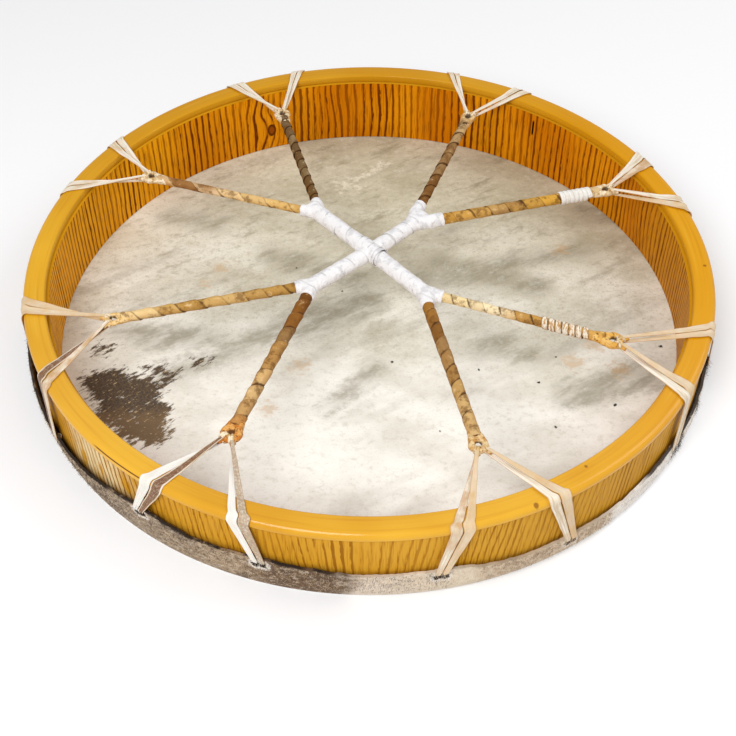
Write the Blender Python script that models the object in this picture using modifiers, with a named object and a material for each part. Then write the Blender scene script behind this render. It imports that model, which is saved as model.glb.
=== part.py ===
"""Shaman drum: a bent wooden hoop with a laced hide head and a bound cross grip at its open back.

The playing face lies on the floor and the open back looks up, along +Z.
The origin is the middle of the playing face. All sizes are in metres.
"""
import math

import bmesh
import bpy
from mathutils import Matrix, Vector

# Overall sizes
RIM_OUTER_RADIUS = 0.250
RIM_BAND = 0.0158
DRUM_DEPTH = 0.0645
RIM_HEIGHT = 0.0060
RIM_ROUNDING = 0.0040
RIM_INNER_ROUNDING = 0.0015
RIM_PROUD_OUTSIDE = 0.0015
RIM_PROUD_INSIDE = 0.0018
HOOP_EDGE_ROUNDING = 0.0022
RING_SEGMENTS = 80
SMOOTH_BELOW = math.radians(35)

# Hide
HIDE_THICKNESS = 0.0018
COLLAR_THICKNESS = 0.0020
COLLAR_FLARE_START = 0.0046
COLLAR_FLARE_END = 0.0075
COLLAR_SAG = 0.0030
SLIT_BELOW_EDGE = 0.0052
SLIT_RADIUS = 0.0018
SLIT_HALF_SPACING = 0.0024
SLIT_SIDES = 6

# Lacing
LACE_THICKNESS = 0.0009
LACE_WIDTH_AT_EYE = 0.0024
LACE_WIDTH_ABOVE_SLIT = 0.0027
LACE_WIDTH_AT_SLIT = 0.0019
LACE_NARROWS_ABOVE_SLIT = 0.0032
LACE_TURNS_IN_ABOVE_SLIT = 0.0009
LACE_PAIR_GAP = 0.0010
LACE_LEAN = math.radians(2.8)
BEND_STEPS = 3
EYE_RADIUS = 0.0042
EYE_CORD_RADIUS = 0.0015
EYE_SEGMENTS = 14
EYE_CORD_SIDES = 6
WEB_ABOVE_RIM = 0.0020

# Spokes: name, angle of the eye in degrees, distance of the eye from the axis, thickness, turns of the wrapping
SPOKES = (
    ("spoke_1", 22.7, 0.1970, 0.0090, 9),
    ("spoke_2", 64.6, 0.1890, 0.0080, 8),
    ("spoke_3", 112.2, 0.1890, 0.0076, 10),
    ("spoke_4", 151.5, 0.1930, 0.0072, 6),
    ("spoke_5", 200.3, 0.1900, 0.0080, 8),
    ("spoke_6", 242.6, 0.1920, 0.0094, 9),
    ("spoke_7", 291.0, 0.1930, 0.0092, 9),
    ("spoke_8", 332.5, 0.1880, 0.0076, 10),
)

# Laces: name, place of the spoke in its list, angle on the rim in degrees, width of the pair of strands there,
# and height of the collar's edge at the slits
LACES = (
    ("lace_1_left", 0, 28.4, 0.0212, 0.0240),
    ("lace_1_right", 0, 14.4, 0.0204, 0.0225),
    ("lace_2_left", 1, 73.2, 0.0106, 0.0250),
    ("lace_2_right", 1, 58.6, 0.0158, 0.0220),
    ("lace_3_left", 2, 117.2, 0.0146, 0.0230),
    ("lace_3_right", 2, 104.2, 0.0114, 0.0260),
    ("lace_4_left", 3, 160.7, 0.0153, 0.0245),
    ("lace_4_right", 3, 145.4, 0.0170, 0.0225),
    ("lace_5_left", 4, 209.2, 0.0178, 0.0248),
    ("lace_5_right", 4, 191.7, 0.0188, 0.0260),
    ("lace_6_left", 5, 251.3, 0.0150, 0.0310),
    ("lace_6_right", 5, 237.0, 0.0174, 0.0350),
    ("lace_7_left", 6, 298.1, 0.0160, 0.0195),
    ("lace_7_right", 6, 283.1, 0.0160, 0.0260),
    ("lace_8_left", 7, 342.6, 0.0158, 0.0240),
    ("lace_8_right", 7, 327.8, 0.0168, 0.0250),
)
WRAP_THICKNESS = 0.0008
WRAP_GAP = 0.0007
WRAP_STEPS = 10

# Coils of cord over a spoke's wrapping: name, place of the spoke, distance of its outer end from the eye, length
COILS = (
    ("spoke_1_coil", 0, 0.0130, 0.0250),
    ("spoke_8_coil", 7, 0.0170, 0.0340),
)
COIL_THICKNESS = 0.0009
COIL_GAP = 0.0007
COIL_TURNS = 6
COIL_STEPS = 12

# Grip: arm name, direction in degrees, length, half angle between its two branches, and its two spokes
ARMS = (
    ("ne", 44.3, 0.0657, 10.2, (0, 1)),
    ("nw", 132.1, 0.0713, 5.9, (2, 3)),
    ("sw", 221.3, 0.0668, 5.6, (4, 5)),
    ("se", 310.5, 0.0707, 5.9, (6, 7)),
)
GRIP_CENTRE = Vector((0.0012, 0.0052, 0.0))
ARM_THICKNESS = 0.0130
BRANCH_PROUD = 0.0009
GRIP_HEART_RADIUS = 0.0068
GRIP_HEART_SEGMENTS = 16
GRIP_HEART_RINGS = 8
BINDING_THICKNESS = 0.0010
BINDING_GAP = 0.0007
BINDING_TURNS = 4
BINDING_STEPS = 12
BINDING_SHORT_OF_FORK = 0.0033
ROD_SIDES = 12

# Clearance between neighbours, and the least difference that counts as one
SEAT_GAP = 0.0003
TOLERANCE = 0.0001

# Sizes that follow from those above
RIM_INNER_RADIUS = RIM_OUTER_RADIUS - RIM_BAND
HOOP_OUTER_RADIUS = RIM_OUTER_RADIUS - RIM_PROUD_OUTSIDE
HOOP_INNER_RADIUS = RIM_INNER_RADIUS - RIM_PROUD_INSIDE
HOOP_BOTTOM = HIDE_THICKNESS + SEAT_GAP
HOOP_TOP = DRUM_DEPTH - RIM_HEIGHT - SEAT_GAP
FLAT_TO_CORNER = 1.0 / math.cos(math.pi / RING_SEGMENTS)
LACE_BEHIND_RADIUS = HOOP_OUTER_RADIUS + SEAT_GAP + LACE_THICKNESS / 2
COLLAR_INNER_RADIUS = (LACE_BEHIND_RADIUS + LACE_THICKNESS / 2 + SEAT_GAP) * FLAT_TO_CORNER
COLLAR_OUTER_RADIUS = COLLAR_INNER_RADIUS + COLLAR_THICKNESS
COLLAR_MIDDLE_RADIUS = (COLLAR_INNER_RADIUS + COLLAR_OUTER_RADIUS) / 2
SLIT_TOOL_LENGTH = 3 * COLLAR_THICKNESS
LACE_FRONT_RADIUS = COLLAR_OUTER_RADIUS + SEAT_GAP + LACE_THICKNESS / 2
BEND_SAG = (RIM_ROUNDING + LACE_THICKNESS) * (1 - math.cos(math.pi / 4 / BEND_STEPS))
LACE_LIFT = SEAT_GAP + LACE_THICKNESS / 2 + BEND_SAG
WEB_HEIGHT = DRUM_DEPTH + WEB_ABOVE_RIM
COLLAR_TALLEST = max(lace[4] for lace in LACES)

# Colours, roughness and metallic value of each finish
FINISHES = {
    "varnished_wall_wood": ((0.60, 0.30, 0.05, 1.0), 0.42, 0.0),
    "varnished_rim_wood": ((0.80, 0.43, 0.08, 1.0), 0.30, 0.0),
    "scraped_hide": ((0.78, 0.73, 0.62, 1.0), 0.75, 0.0),
    "rawhide_lace": ((0.80, 0.72, 0.58, 1.0), 0.60, 0.0),
    "tied_rawhide": ((0.55, 0.36, 0.17, 1.0), 0.65, 0.0),
    "twisted_bundle": ((0.30, 0.18, 0.08, 1.0), 0.75, 0.0),
    "brown_wrapping": ((0.50, 0.31, 0.12, 1.0), 0.70, 0.0),
    "white_binding": ((0.88, 0.88, 0.87, 1.0), 0.80, 0.0),
    "white_cord": ((0.82, 0.77, 0.68, 1.0), 0.70, 0.0),
}


def remove_scene_objects():
    for old in list(bpy.data.objects):
        bpy.data.objects.remove(old, do_unlink=True)


def new_collection(name):
    collection = bpy.data.collections.new(name)
    bpy.context.scene.collection.children.link(collection)
    return collection


def new_material(name):
    colour, roughness, metallic = FINISHES[name]
    material = bpy.data.materials.new(name)
    material.use_nodes = True
    shader = material.node_tree.nodes["Principled BSDF"]
    shader.inputs["Base Color"].default_value = colour
    shader.inputs["Roughness"].default_value = roughness
    shader.inputs["Metallic"].default_value = metallic
    material.diffuse_color = colour
    return material


def new_object(name, mesh, collection, finish=None):
    piece = bpy.data.objects.new(name, mesh)
    collection.objects.link(piece)
    if finish:
        mesh.materials.append(material_of(finish))
    return piece


def material_of(finish):
    return bpy.data.materials.get(finish) or new_material(finish)


def polar(radius, angle, height=0.0):
    return Vector((radius * math.cos(angle), radius * math.sin(angle), height))


def arc(centre_x, centre_z, radius, start, end, steps):
    """Points of a round corner in the XZ plane, angles in degrees."""
    points = []
    for step in range(steps + 1):
        angle = math.radians(start + (end - start) * step / steps)
        points.append((centre_x + radius * math.cos(angle), centre_z + radius * math.sin(angle)))
    return points


def smooth(mesh):
    mesh.shade_smooth()
    mesh.set_sharp_from_angle(angle=SMOOTH_BELOW)


def turned(name, profile, closed, collection, finish):
    """A turned ring or disc from a profile of (radius, height) points, run down its outer side."""
    mesh = bpy.data.meshes.new(name)
    count = len(profile)
    edges = [(i, i + 1) for i in range(count - 1)]
    if closed:
        edges.append((count - 1, 0))
    mesh.from_pydata([(r, 0.0, z) for r, z in profile], edges, [])
    piece = new_object(name, mesh, collection, finish)
    screw = piece.modifiers.new("Turn", "SCREW")
    screw.axis = "Z"
    screw.angle = math.tau
    screw.steps = RING_SEGMENTS
    screw.render_steps = RING_SEGMENTS
    screw.use_merge_vertices = True
    screw.merge_threshold = TOLERANCE / 2
    screw.use_smooth_shade = True
    return piece


def bake(piece):
    """Put the evaluated shape of a piece into its mesh and drop its modifiers."""
    graph = bpy.context.evaluated_depsgraph_get()
    graph.update()
    old = piece.data
    piece.data = bpy.data.meshes.new_from_object(piece.evaluated_get(graph))
    piece.modifiers.clear()
    bpy.data.meshes.remove(old)
    return piece


def rod(start, end, start_radius, end_radius, sides=ROD_SIDES):
    """Mesh of a straight rod between two points, in world coordinates."""
    shape = bmesh.new()
    bmesh.ops.create_cone(shape, cap_ends=True, segments=sides, radius1=start_radius, radius2=end_radius,
                          depth=(end - start).length)
    turn = (end - start).to_track_quat("Z", "Y").to_matrix().to_4x4()
    bmesh.ops.transform(shape, matrix=Matrix.Translation((start + end) / 2) @ turn, verts=shape.verts)
    mesh = bpy.data.meshes.new("rod")
    shape.to_mesh(mesh)
    shape.free()
    return mesh


def make_hoop(collection):
    low = arc(HOOP_OUTER_RADIUS - HOOP_EDGE_ROUNDING, HOOP_BOTTOM + HOOP_EDGE_ROUNDING, HOOP_EDGE_ROUNDING,
              0, -90, 2)
    profile = [(HOOP_OUTER_RADIUS, HOOP_TOP)] + low
    profile += [(HOOP_INNER_RADIUS, HOOP_BOTTOM), (HOOP_INNER_RADIUS, HOOP_TOP)]
    return turned("hoop", profile, True, collection, "varnished_wall_wood")


def make_rim_ring(collection):
    underside = DRUM_DEPTH - RIM_HEIGHT
    outside = arc(RIM_OUTER_RADIUS - RIM_ROUNDING, DRUM_DEPTH - RIM_ROUNDING, RIM_ROUNDING, 90, 0, 4)
    inside = arc(RIM_INNER_RADIUS + RIM_INNER_ROUNDING, DRUM_DEPTH - RIM_INNER_ROUNDING, RIM_INNER_ROUNDING,
                 180, 90, 2)
    profile = outside + [(RIM_OUTER_RADIUS, underside), (RIM_INNER_RADIUS, underside)] + inside
    return turned("rim_ring", profile, True, collection, "varnished_rim_wood")


def slit_angle_of(lace):
    """Angle of a lace's pair of slits: the lace leans on, away from its spoke."""
    crossing = math.radians(lace[2])
    eye_angle = math.radians(SPOKES[lace[1]][1])
    return crossing + math.copysign(LACE_LEAN, math.sin(crossing - eye_angle))


def collar_height(angle):
    """Height of the collar's edge at an angle round the drum: drawn up by the laces, sagging between them."""
    before = min(LACES, key=lambda lace: (angle - slit_angle_of(lace)) % math.tau)
    after = min(LACES, key=lambda lace: (slit_angle_of(lace) - angle) % math.tau)
    span = (slit_angle_of(after) - slit_angle_of(before)) % math.tau
    if span < TOLERANCE:
        return before[4]
    share = ((angle - slit_angle_of(before)) % math.tau) / span
    eased = share * share * (3 - 2 * share)
    return before[4] + (after[4] - before[4]) * eased - COLLAR_SAG * math.sin(math.pi * share) ** 2


def make_drum_head(collection, cutters):
    """One hide: the flat face, the bend round the hoop's edge and the standing collar with its slits."""
    inner_bend = HOOP_EDGE_ROUNDING + SEAT_GAP
    bend_centre = HOOP_OUTER_RADIUS - HOOP_EDGE_ROUNDING
    bend_height = HIDE_THICKNESS + inner_bend
    outer_bend = inner_bend + HIDE_THICKNESS
    inside = arc(bend_centre, bend_height, inner_bend, -90, 0, 2)
    outside = arc(bend_centre, bend_height, outer_bend, 0, -90, 3)
    profile = [(0.0, HIDE_THICKNESS)] + [(r * (FLAT_TO_CORNER if r > bend_centre else 1), z) for r, z in inside]
    profile.append(((HOOP_OUTER_RADIUS + SEAT_GAP) * FLAT_TO_CORNER, COLLAR_FLARE_START))
    profile.append((COLLAR_INNER_RADIUS, COLLAR_FLARE_END))
    profile.append((COLLAR_INNER_RADIUS, COLLAR_TALLEST))
    profile.append((COLLAR_OUTER_RADIUS, COLLAR_TALLEST))
    profile.append((COLLAR_OUTER_RADIUS, COLLAR_FLARE_END))
    profile += outside + [(0.0, 0.0)]
    head = bake(turned("drum_head", profile, False, collection, "scraped_hide"))
    for vertex in head.data.vertices:
        if vertex.co.z > COLLAR_TALLEST - TOLERANCE:
            vertex.co.z = collar_height(math.atan2(vertex.co.y, vertex.co.x))
    shape = bmesh.new()
    for lace in LACES:
        for side in (-1, 1):
            at = slit_angle_of(lace) + side * SLIT_HALF_SPACING / COLLAR_OUTER_RADIUS
            middle = polar(COLLAR_MIDDLE_RADIUS, at, lace[4] - SLIT_BELOW_EDGE)
            turn = polar(1.0, at).to_track_quat("Z", "Y").to_matrix().to_4x4()
            bmesh.ops.create_cone(shape, cap_ends=True, segments=SLIT_SIDES, radius1=SLIT_RADIUS,
                                  radius2=SLIT_RADIUS, depth=SLIT_TOOL_LENGTH,
                                  matrix=Matrix.Translation(middle) @ turn)
    mesh = bpy.data.meshes.new("collar_slits")
    shape.to_mesh(mesh)
    shape.free()
    slits = new_object("collar_slits", mesh, cutters)
    hide_cutter(slits)
    cut = head.modifiers.new("Slits", "BOOLEAN")
    cut.operation = "DIFFERENCE"
    cut.object = slits
    return head


def hide_cutter(cutter):
    cutter.hide_render = True
    cutter.display_type = "WIRE"


def ribbon(name, stations, thickness, collection, finish):
    """A flat strap from stations of (middle, width direction, width), thickened evenly to both sides.

    The strap twists, so its faces are split into triangles, which stay flat.
    """
    vertices = []
    for middle, across, width in stations:
        half = across.normalized() * (width / 2)
        vertices += [middle - half, middle + half]
    faces = [(2 * i, 2 * i + 1, 2 * i + 3, 2 * i + 2) for i in range(len(stations) - 1)]
    mesh = bpy.data.meshes.new(name)
    mesh.from_pydata(vertices, [], faces)
    mesh.shade_smooth()
    strap = new_object(name, mesh, collection, finish)
    wall = strap.modifiers.new("Thickness", "SOLIDIFY")
    wall.thickness = thickness
    wall.offset = 0.0
    split = strap.modifiers.new("Flat faces", "TRIANGULATE")
    split.quad_method = "SHORTEST_DIAGONAL"
    return strap


def strand_stations(lace, side):
    """One strand of a lace, from its spoke's eye over the rim and down to the back of the collar."""
    eye = eye_of(SPOKES[lace[1]])
    leg_angle = math.radians(lace[2])
    width_at_rim = (lace[3] - LACE_PAIR_GAP) / 2
    aside = (width_at_rim + LACE_PAIR_GAP) / 2
    crossing = polar(RIM_OUTER_RADIUS, leg_angle + side * aside / RIM_OUTER_RADIUS, WEB_HEIGHT)
    middle_crossing = polar(RIM_OUTER_RADIUS, leg_angle, WEB_HEIGHT)
    towards = (middle_crossing - eye).normalized()
    hook = eye + towards * (EYE_RADIUS - EYE_CORD_RADIUS / 2)
    leave = eye + towards * (EYE_RADIUS + 2 * EYE_CORD_RADIUS)
    lift = Vector((0, 0, side * (EYE_CORD_RADIUS + SEAT_GAP + LACE_THICKNESS / 2)))
    across = Vector((-towards.y, towards.x, 0))
    stations = [(hook + lift, across, LACE_WIDTH_AT_EYE), (leave + lift, across, LACE_WIDTH_AT_EYE)]
    run = crossing - leave
    run.z = 0
    over = run.normalized()
    widening = Vector((-over.y, over.x, 0))
    crossing_angle = math.atan2(crossing.y, crossing.x)
    tangent = polar(1.0, crossing_angle + math.pi / 2)
    on_rim = DRUM_DEPTH + LACE_LIFT
    for radius, across in ((RIM_INNER_RADIUS - LACE_LIFT, widening), (RIM_OUTER_RADIUS - RIM_ROUNDING, tangent)):
        back = (RIM_OUTER_RADIUS - radius) / over.dot(polar(1.0, leg_angle))
        point = crossing - over * back
        share = 1 - back / run.length
        width = LACE_WIDTH_AT_EYE + (width_at_rim - LACE_WIDTH_AT_EYE) * share
        from_middle = abs(towards.cross(point - leave).z)
        width = min(width, 2 * from_middle - LACE_PAIR_GAP)
        stations.append((Vector((point.x, point.y, on_rim)), across, width))
    for step in range(1, BEND_STEPS + 1):
        bend = math.pi / 2 * (1 - step / BEND_STEPS)
        radius = RIM_OUTER_RADIUS - RIM_ROUNDING + (RIM_ROUNDING + LACE_LIFT) * math.cos(bend)
        height = DRUM_DEPTH - RIM_ROUNDING + (RIM_ROUNDING + LACE_LIFT) * math.sin(bend)
        stations.append((polar(radius, crossing_angle, height), tangent, width_at_rim))
    slit_angle = slit_angle_of(lace)
    slit_height = lace[4] - SLIT_BELOW_EDGE
    tangent = polar(1.0, slit_angle + math.pi / 2)
    upright = Vector((0, 0, 1))
    slanted = tangent + upright * side

    def at_slit(radius, beside, above):
        return polar(radius, slit_angle + side * beside / radius, slit_height + above)

    stations.append((at_slit(LACE_FRONT_RADIUS, SLIT_HALF_SPACING, LACE_NARROWS_ABOVE_SLIT), tangent,
                     LACE_WIDTH_ABOVE_SLIT))
    stations.append((at_slit(LACE_FRONT_RADIUS, SLIT_HALF_SPACING, LACE_TURNS_IN_ABOVE_SLIT), tangent,
                     LACE_WIDTH_AT_SLIT))
    stations.append((at_slit(COLLAR_MIDDLE_RADIUS, SLIT_HALF_SPACING, 0.0), slanted, LACE_WIDTH_AT_SLIT))
    stations.append((at_slit(LACE_BEHIND_RADIUS, SLIT_HALF_SPACING / 2, 0.0), upright, LACE_WIDTH_AT_SLIT))
    return stations


def make_lace(lace, collection):
    """A doubled lace: out along one strand, behind the collar, and back along the other."""
    out = strand_stations(lace, 1)
    home = [(middle, -across, width) for middle, across, width in reversed(strand_stations(lace, -1))]
    home[0] = (home[0][0], -home[0][1], home[0][2])
    return ribbon(lace[0], out + home, LACE_THICKNESS, collection, "rawhide_lace")


def wound_strip(name, start, end, outer_radius, thickness, gap, turns, steps, collection, finish):
    """A strip wound in open turns round a straight run, made at the origin and placed by its matrix."""
    run = end - start
    pitch = run.length / (turns + 1)
    width = pitch - gap
    radius = outer_radius - thickness / 2
    mesh = bpy.data.meshes.new(name)
    mesh.from_pydata([(radius, 0.0, width), (radius, 0.0, 0.0)], [(0, 1)], [])
    strip = new_object(name, mesh, collection, finish)
    screw = strip.modifiers.new("Turns", "SCREW")
    screw.axis = "Z"
    screw.angle = math.tau * turns
    screw.screw_offset = pitch * turns
    screw.steps = steps * turns
    screw.render_steps = steps * turns
    screw.use_smooth_shade = True
    wall = strip.modifiers.new("Thickness", "SOLIDIFY")
    wall.thickness = thickness
    wall.offset = 0.0
    strip.matrix_world = Matrix.Translation(start) @ run.to_track_quat("Z", "Y").to_matrix().to_4x4()
    print(name, "least gap between turns, mm:", round(1000 * least_gap(radius, pitch, width, turns, steps), 3))
    return strip


def least_gap(radius, pitch, width, turns, steps):
    """Least distance from points on a strip's upper edge to points on the next turn's lower edge."""
    fine = 8
    upper = []
    lower = []
    for step in range(steps * fine * min(turns, 3)):
        share = step / (steps * fine)
        point = polar(radius, math.tau * share, pitch * share)
        lower.append(point)
        upper.append(point + Vector((0, 0, width)))
    least = pitch
    for index, point in enumerate(upper):
        for other in lower[index + steps * fine // 2:]:
            least = min(least, (other - point).length)
    return least


def wrap_inner_radius(thickness, strip, steps):
    """Greatest round that fits inside a faceted wrapping with the usual gap."""
    return (thickness / 2 - strip) * math.cos(math.pi / steps) - SEAT_GAP


def eye_of(spoke):
    """Middle of the eye at a spoke's outer end."""
    return polar(spoke[2], math.radians(spoke[1]), WEB_HEIGHT)


def branch_line(arm_degrees, length, half_fork, side, spoke):
    """Tip of a forked branch and the point where its spoke's line meets the arm's middle line."""
    arm = math.radians(arm_degrees)
    tip = GRIP_CENTRE + polar(length, arm + side * math.radians(half_fork), WEB_HEIGHT)
    run = (eye_of(spoke) - tip).normalized()
    opening = math.atan2(run.y, run.x) - arm
    back = length * math.sin(side * math.radians(half_fork)) / math.sin(opening)
    return tip, tip - run * back


def make_spoke(index, start, collection):
    """A spoke's twisted bundle and its wrapping, the eye at its end, and any coil of cord over it."""
    name, eye_degrees, _, thickness, turns = SPOKES[index]
    eye = eye_of(SPOKES[index])
    direction = (eye - start).normalized()
    end = eye - direction * (EYE_RADIUS + EYE_CORD_RADIUS + SEAT_GAP)
    near = start + direction * SEAT_GAP
    core_radius = wrap_inner_radius(thickness, WRAP_THICKNESS, WRAP_STEPS)
    core = new_object(name + "_core", rod(near, end, core_radius, core_radius), collection, "twisted_bundle")
    smooth(core.data)
    wound_strip(name + "_wrap", near, end, thickness / 2, WRAP_THICKNESS, WRAP_GAP, turns, WRAP_STEPS,
                collection, "brown_wrapping")
    bpy.ops.mesh.primitive_torus_add(major_radius=EYE_RADIUS, minor_radius=EYE_CORD_RADIUS, major_segments=EYE_SEGMENTS,
                                     minor_segments=EYE_CORD_SIDES, location=eye,
                                     rotation=(0, 0, math.radians(eye_degrees)))
    ring = bpy.context.object
    ring.name = name + "_eye"
    ring.data.name = ring.name
    ring.data.materials.append(material_of("tied_rawhide"))
    ring.data.shade_smooth()
    for old in list(ring.users_collection):
        old.objects.unlink(ring)
    collection.objects.link(ring)
    for coil_name, spoke, from_eye, length in COILS:
        if spoke == index:
            coil_end = eye - direction * from_eye
            inner_radius = (thickness / 2 + SEAT_GAP) / math.cos(math.pi / COIL_STEPS)
            wound_strip(coil_name, coil_end - direction * length, coil_end, inner_radius + COIL_THICKNESS,
                        COIL_THICKNESS, COIL_GAP, COIL_TURNS, COIL_STEPS, collection, "white_cord")


def make_grip(collection, cutters):
    """The four-armed cross with forked ends, and the binding wound round each arm."""
    centre = GRIP_CENTRE + Vector((0, 0, WEB_HEIGHT))
    heart = bmesh.new()
    bmesh.ops.create_uvsphere(heart, u_segments=GRIP_HEART_SEGMENTS, v_segments=GRIP_HEART_RINGS,
                              radius=GRIP_HEART_RADIUS, matrix=Matrix.Translation(centre))
    mesh = bpy.data.meshes.new("grip_core")
    heart.to_mesh(mesh)
    heart.free()
    core = new_object("grip_core", mesh, collection, "white_binding")
    arm_radius = wrap_inner_radius(ARM_THICKNESS, BINDING_THICKNESS, BINDING_STEPS)
    for name, degrees, length, half_fork, spokes in ARMS:
        angle = math.radians(degrees)
        rods = []
        meets = []
        for side, index in ((-1, spokes[0]), (1, spokes[1])):
            tip, root = branch_line(degrees, length, half_fork, side, SPOKES[index])
            rods.append(rod(root, tip, arm_radius, SPOKES[index][3] / 2 + BRANCH_PROUD))
            meets.append(root)
            make_spoke(index, tip, collection)
        fork = (meets[0] + meets[1]) / 2
        rods.append(rod(centre, fork, arm_radius, arm_radius))
        for number, piece in enumerate(rods):
            tool = new_object("grip_rod_%s_%d" % (name, number), piece, cutters)
            hide_cutter(tool)
            join = core.modifiers.new("Join", "BOOLEAN")
            join.operation = "UNION"
            join.object = tool
        outward = polar(1.0, angle)
        wound_strip("grip_wrap_" + name, centre + outward * (GRIP_HEART_RADIUS + 2 * SEAT_GAP),
                    fork - outward * BINDING_SHORT_OF_FORK, ARM_THICKNESS / 2, BINDING_THICKNESS, BINDING_GAP,
                    BINDING_TURNS, BINDING_STEPS, collection, "white_binding")
    bake(core)
    smooth(core.data)
    return core


def main():
    remove_scene_objects()
    drum = new_collection("shaman_drum")
    cutters = new_collection("cutters")
    make_hoop(drum)
    make_rim_ring(drum)
    make_drum_head(drum, cutters)
    make_grip(drum, cutters)
    for lace in LACES:
        make_lace(lace, drum)


main()
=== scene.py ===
"""Looks of a hand-laced frame drum: hoop, rim, scraped hide, thongs, wrapped spokes and bound grip."""
import functools
import math
from collections import namedtuple

import bpy
from bpy.props import FloatProperty, FloatVectorProperty, IntProperty, PointerProperty
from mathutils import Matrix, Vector, noise


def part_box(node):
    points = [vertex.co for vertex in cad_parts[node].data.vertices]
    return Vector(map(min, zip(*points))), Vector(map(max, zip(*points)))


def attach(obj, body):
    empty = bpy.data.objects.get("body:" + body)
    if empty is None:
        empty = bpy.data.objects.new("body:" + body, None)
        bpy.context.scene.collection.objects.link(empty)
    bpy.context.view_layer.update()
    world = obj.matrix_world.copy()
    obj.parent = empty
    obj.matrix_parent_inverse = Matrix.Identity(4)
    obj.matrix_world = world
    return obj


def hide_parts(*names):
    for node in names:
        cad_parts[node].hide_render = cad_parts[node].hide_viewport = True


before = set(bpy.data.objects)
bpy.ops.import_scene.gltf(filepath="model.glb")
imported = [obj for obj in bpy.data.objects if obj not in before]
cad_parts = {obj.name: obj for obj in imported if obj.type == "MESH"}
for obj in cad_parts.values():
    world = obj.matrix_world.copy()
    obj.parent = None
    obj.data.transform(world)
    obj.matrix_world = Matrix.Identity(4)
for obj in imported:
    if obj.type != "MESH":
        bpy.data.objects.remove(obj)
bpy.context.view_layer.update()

bl_info = {
    "name": "Hand-Laced Frame Drum",
    "version": (1, 0, 0),
    "blender": (4, 5, 0),
    "location": "3D View > Sidebar > Frame Drum",
    "description": "Models and finishes the pieces of a laced frame drum round its packed solids",
    "category": "Object",
}

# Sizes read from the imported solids
RIM_LOW, RIM_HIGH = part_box("rim_ring")
HOOP_LOW, HOOP_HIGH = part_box("hoop")
EYE_LOW, EYE_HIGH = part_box("spoke_1_eye")
RIM_RADIUS = RIM_HIGH.x
DEPTH = RIM_HIGH.z
HOOP_RADIUS = HOOP_HIGH.x
HEAD_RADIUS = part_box("drum_head")[1].x
WEB_HEIGHT = (EYE_LOW.z + EYE_HIGH.z) / 2

# Sizes that the solids share, in metres
RIM_BAND = 0.0158
RIM_ROUNDING = 0.0040
RIM_INNER_ROUNDING = 0.0015
WALL = 0.0161
HOOP_ROUNDING = 0.0022
HIDE = 0.0018
COLLAR = 0.0020
COLLAR_SAG = 0.0030
SLIT_BELOW_EDGE = 0.0052
SLIT_RADIUS = 0.0018
SLIT_HALF_SPACING = 0.0024
SEAT_GAP = 0.0003
THONG = 0.0009
THONG_AT_EYE = 0.0024
THONG_ABOVE_SLIT = 0.0040
THONG_AT_SLIT = 0.0024
THONG_NARROWS = 0.0032
THONG_TURNS_IN = 0.0009
THONG_PAIR_GAP = 0.0005
THONG_LEAN = math.radians(2.8)
EYE_RADIUS = 0.0042
EYE_CORD = 0.0015
BIND_RADIUS = 0.0065
GRIP_CENTRE = Vector((0.0012, 0.0052, 0.0))
HEART_RADIUS = 0.0068
BRANCH_PROUD = 0.0009
BEHIND_RADIUS = HOOP_RADIUS + SEAT_GAP + THONG / 2
FRONT_RADIUS = HEAD_RADIUS + SEAT_GAP + THONG / 2
COLLAR_MIDDLE = HEAD_RADIUS - COLLAR / 2
THONG_LIFT = SEAT_GAP + THONG / 2 + 0.0002

# Spokes: name, angle of the eye in degrees, its distance from the axis, thickness, turns of the wrapping
Spoke = namedtuple("Spoke", "name angle distance thickness turns")
SPOKES = tuple(Spoke(*row) for row in (
    ("spoke_1", 22.7, 0.1970, 0.0090, 9),
    ("spoke_2", 64.6, 0.1890, 0.0080, 8),
    ("spoke_3", 112.2, 0.1890, 0.0076, 10),
    ("spoke_4", 151.5, 0.1930, 0.0072, 6),
    ("spoke_5", 200.3, 0.1900, 0.0080, 8),
    ("spoke_6", 242.6, 0.1920, 0.0094, 9),
    ("spoke_7", 291.0, 0.1930, 0.0092, 9),
    ("spoke_8", 332.5, 0.1880, 0.0076, 10),
))

# Thongs: lace, place of its spoke, angle on the rim in degrees, width of the pair of strands there, height of
# the collar's edge at its slits, and the kind of hide on the strand of the greater angle and on the other
Lace = namedtuple("Lace", "name spoke angle width edge kind other_kind")
LACES = tuple(Lace(*row) for row in (
    ("lace_1_left", 0, 28.4, 0.0212, 0.0240, "plain", "amber"),
    ("lace_1_right", 0, 14.4, 0.0204, 0.0225, "plain", "tan"),
    ("lace_2_left", 1, 73.2, 0.0106, 0.0250, "plain", "plain"),
    ("lace_2_right", 1, 58.6, 0.0158, 0.0220, "plain", "plain"),
    ("lace_3_left", 2, 117.2, 0.0146, 0.0230, "plain", "plain"),
    ("lace_3_right", 2, 104.2, 0.0114, 0.0260, "plain", "plain"),
    ("lace_4_left", 3, 160.7, 0.0153, 0.0245, "plain", "plain"),
    ("lace_4_right", 3, 145.4, 0.0170, 0.0225, "plain", "plain"),
    ("lace_5_left", 4, 209.2, 0.0178, 0.0248, "amber", "haired"),
    ("lace_5_right", 4, 191.7, 0.0188, 0.0260, "tan", "tan"),
    ("lace_6_left", 5, 251.3, 0.0150, 0.0310, "speckled", "white"),
    ("lace_6_right", 5, 237.0, 0.0174, 0.0350, "haired", "white"),
    ("lace_7_left", 6, 298.1, 0.0160, 0.0195, "tan", "plain"),
    ("lace_7_right", 6, 283.1, 0.0160, 0.0260, "tan", "amber"),
    ("lace_8_left", 7, 342.6, 0.0158, 0.0240, "tan", "tan"),
    ("lace_8_right", 7, 327.8, 0.0168, 0.0250, "tan", "plain"),
))

COLLAR_MEAN = sum(lace.edge for lace in LACES) / len(LACES) - COLLAR_SAG / 2

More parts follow.
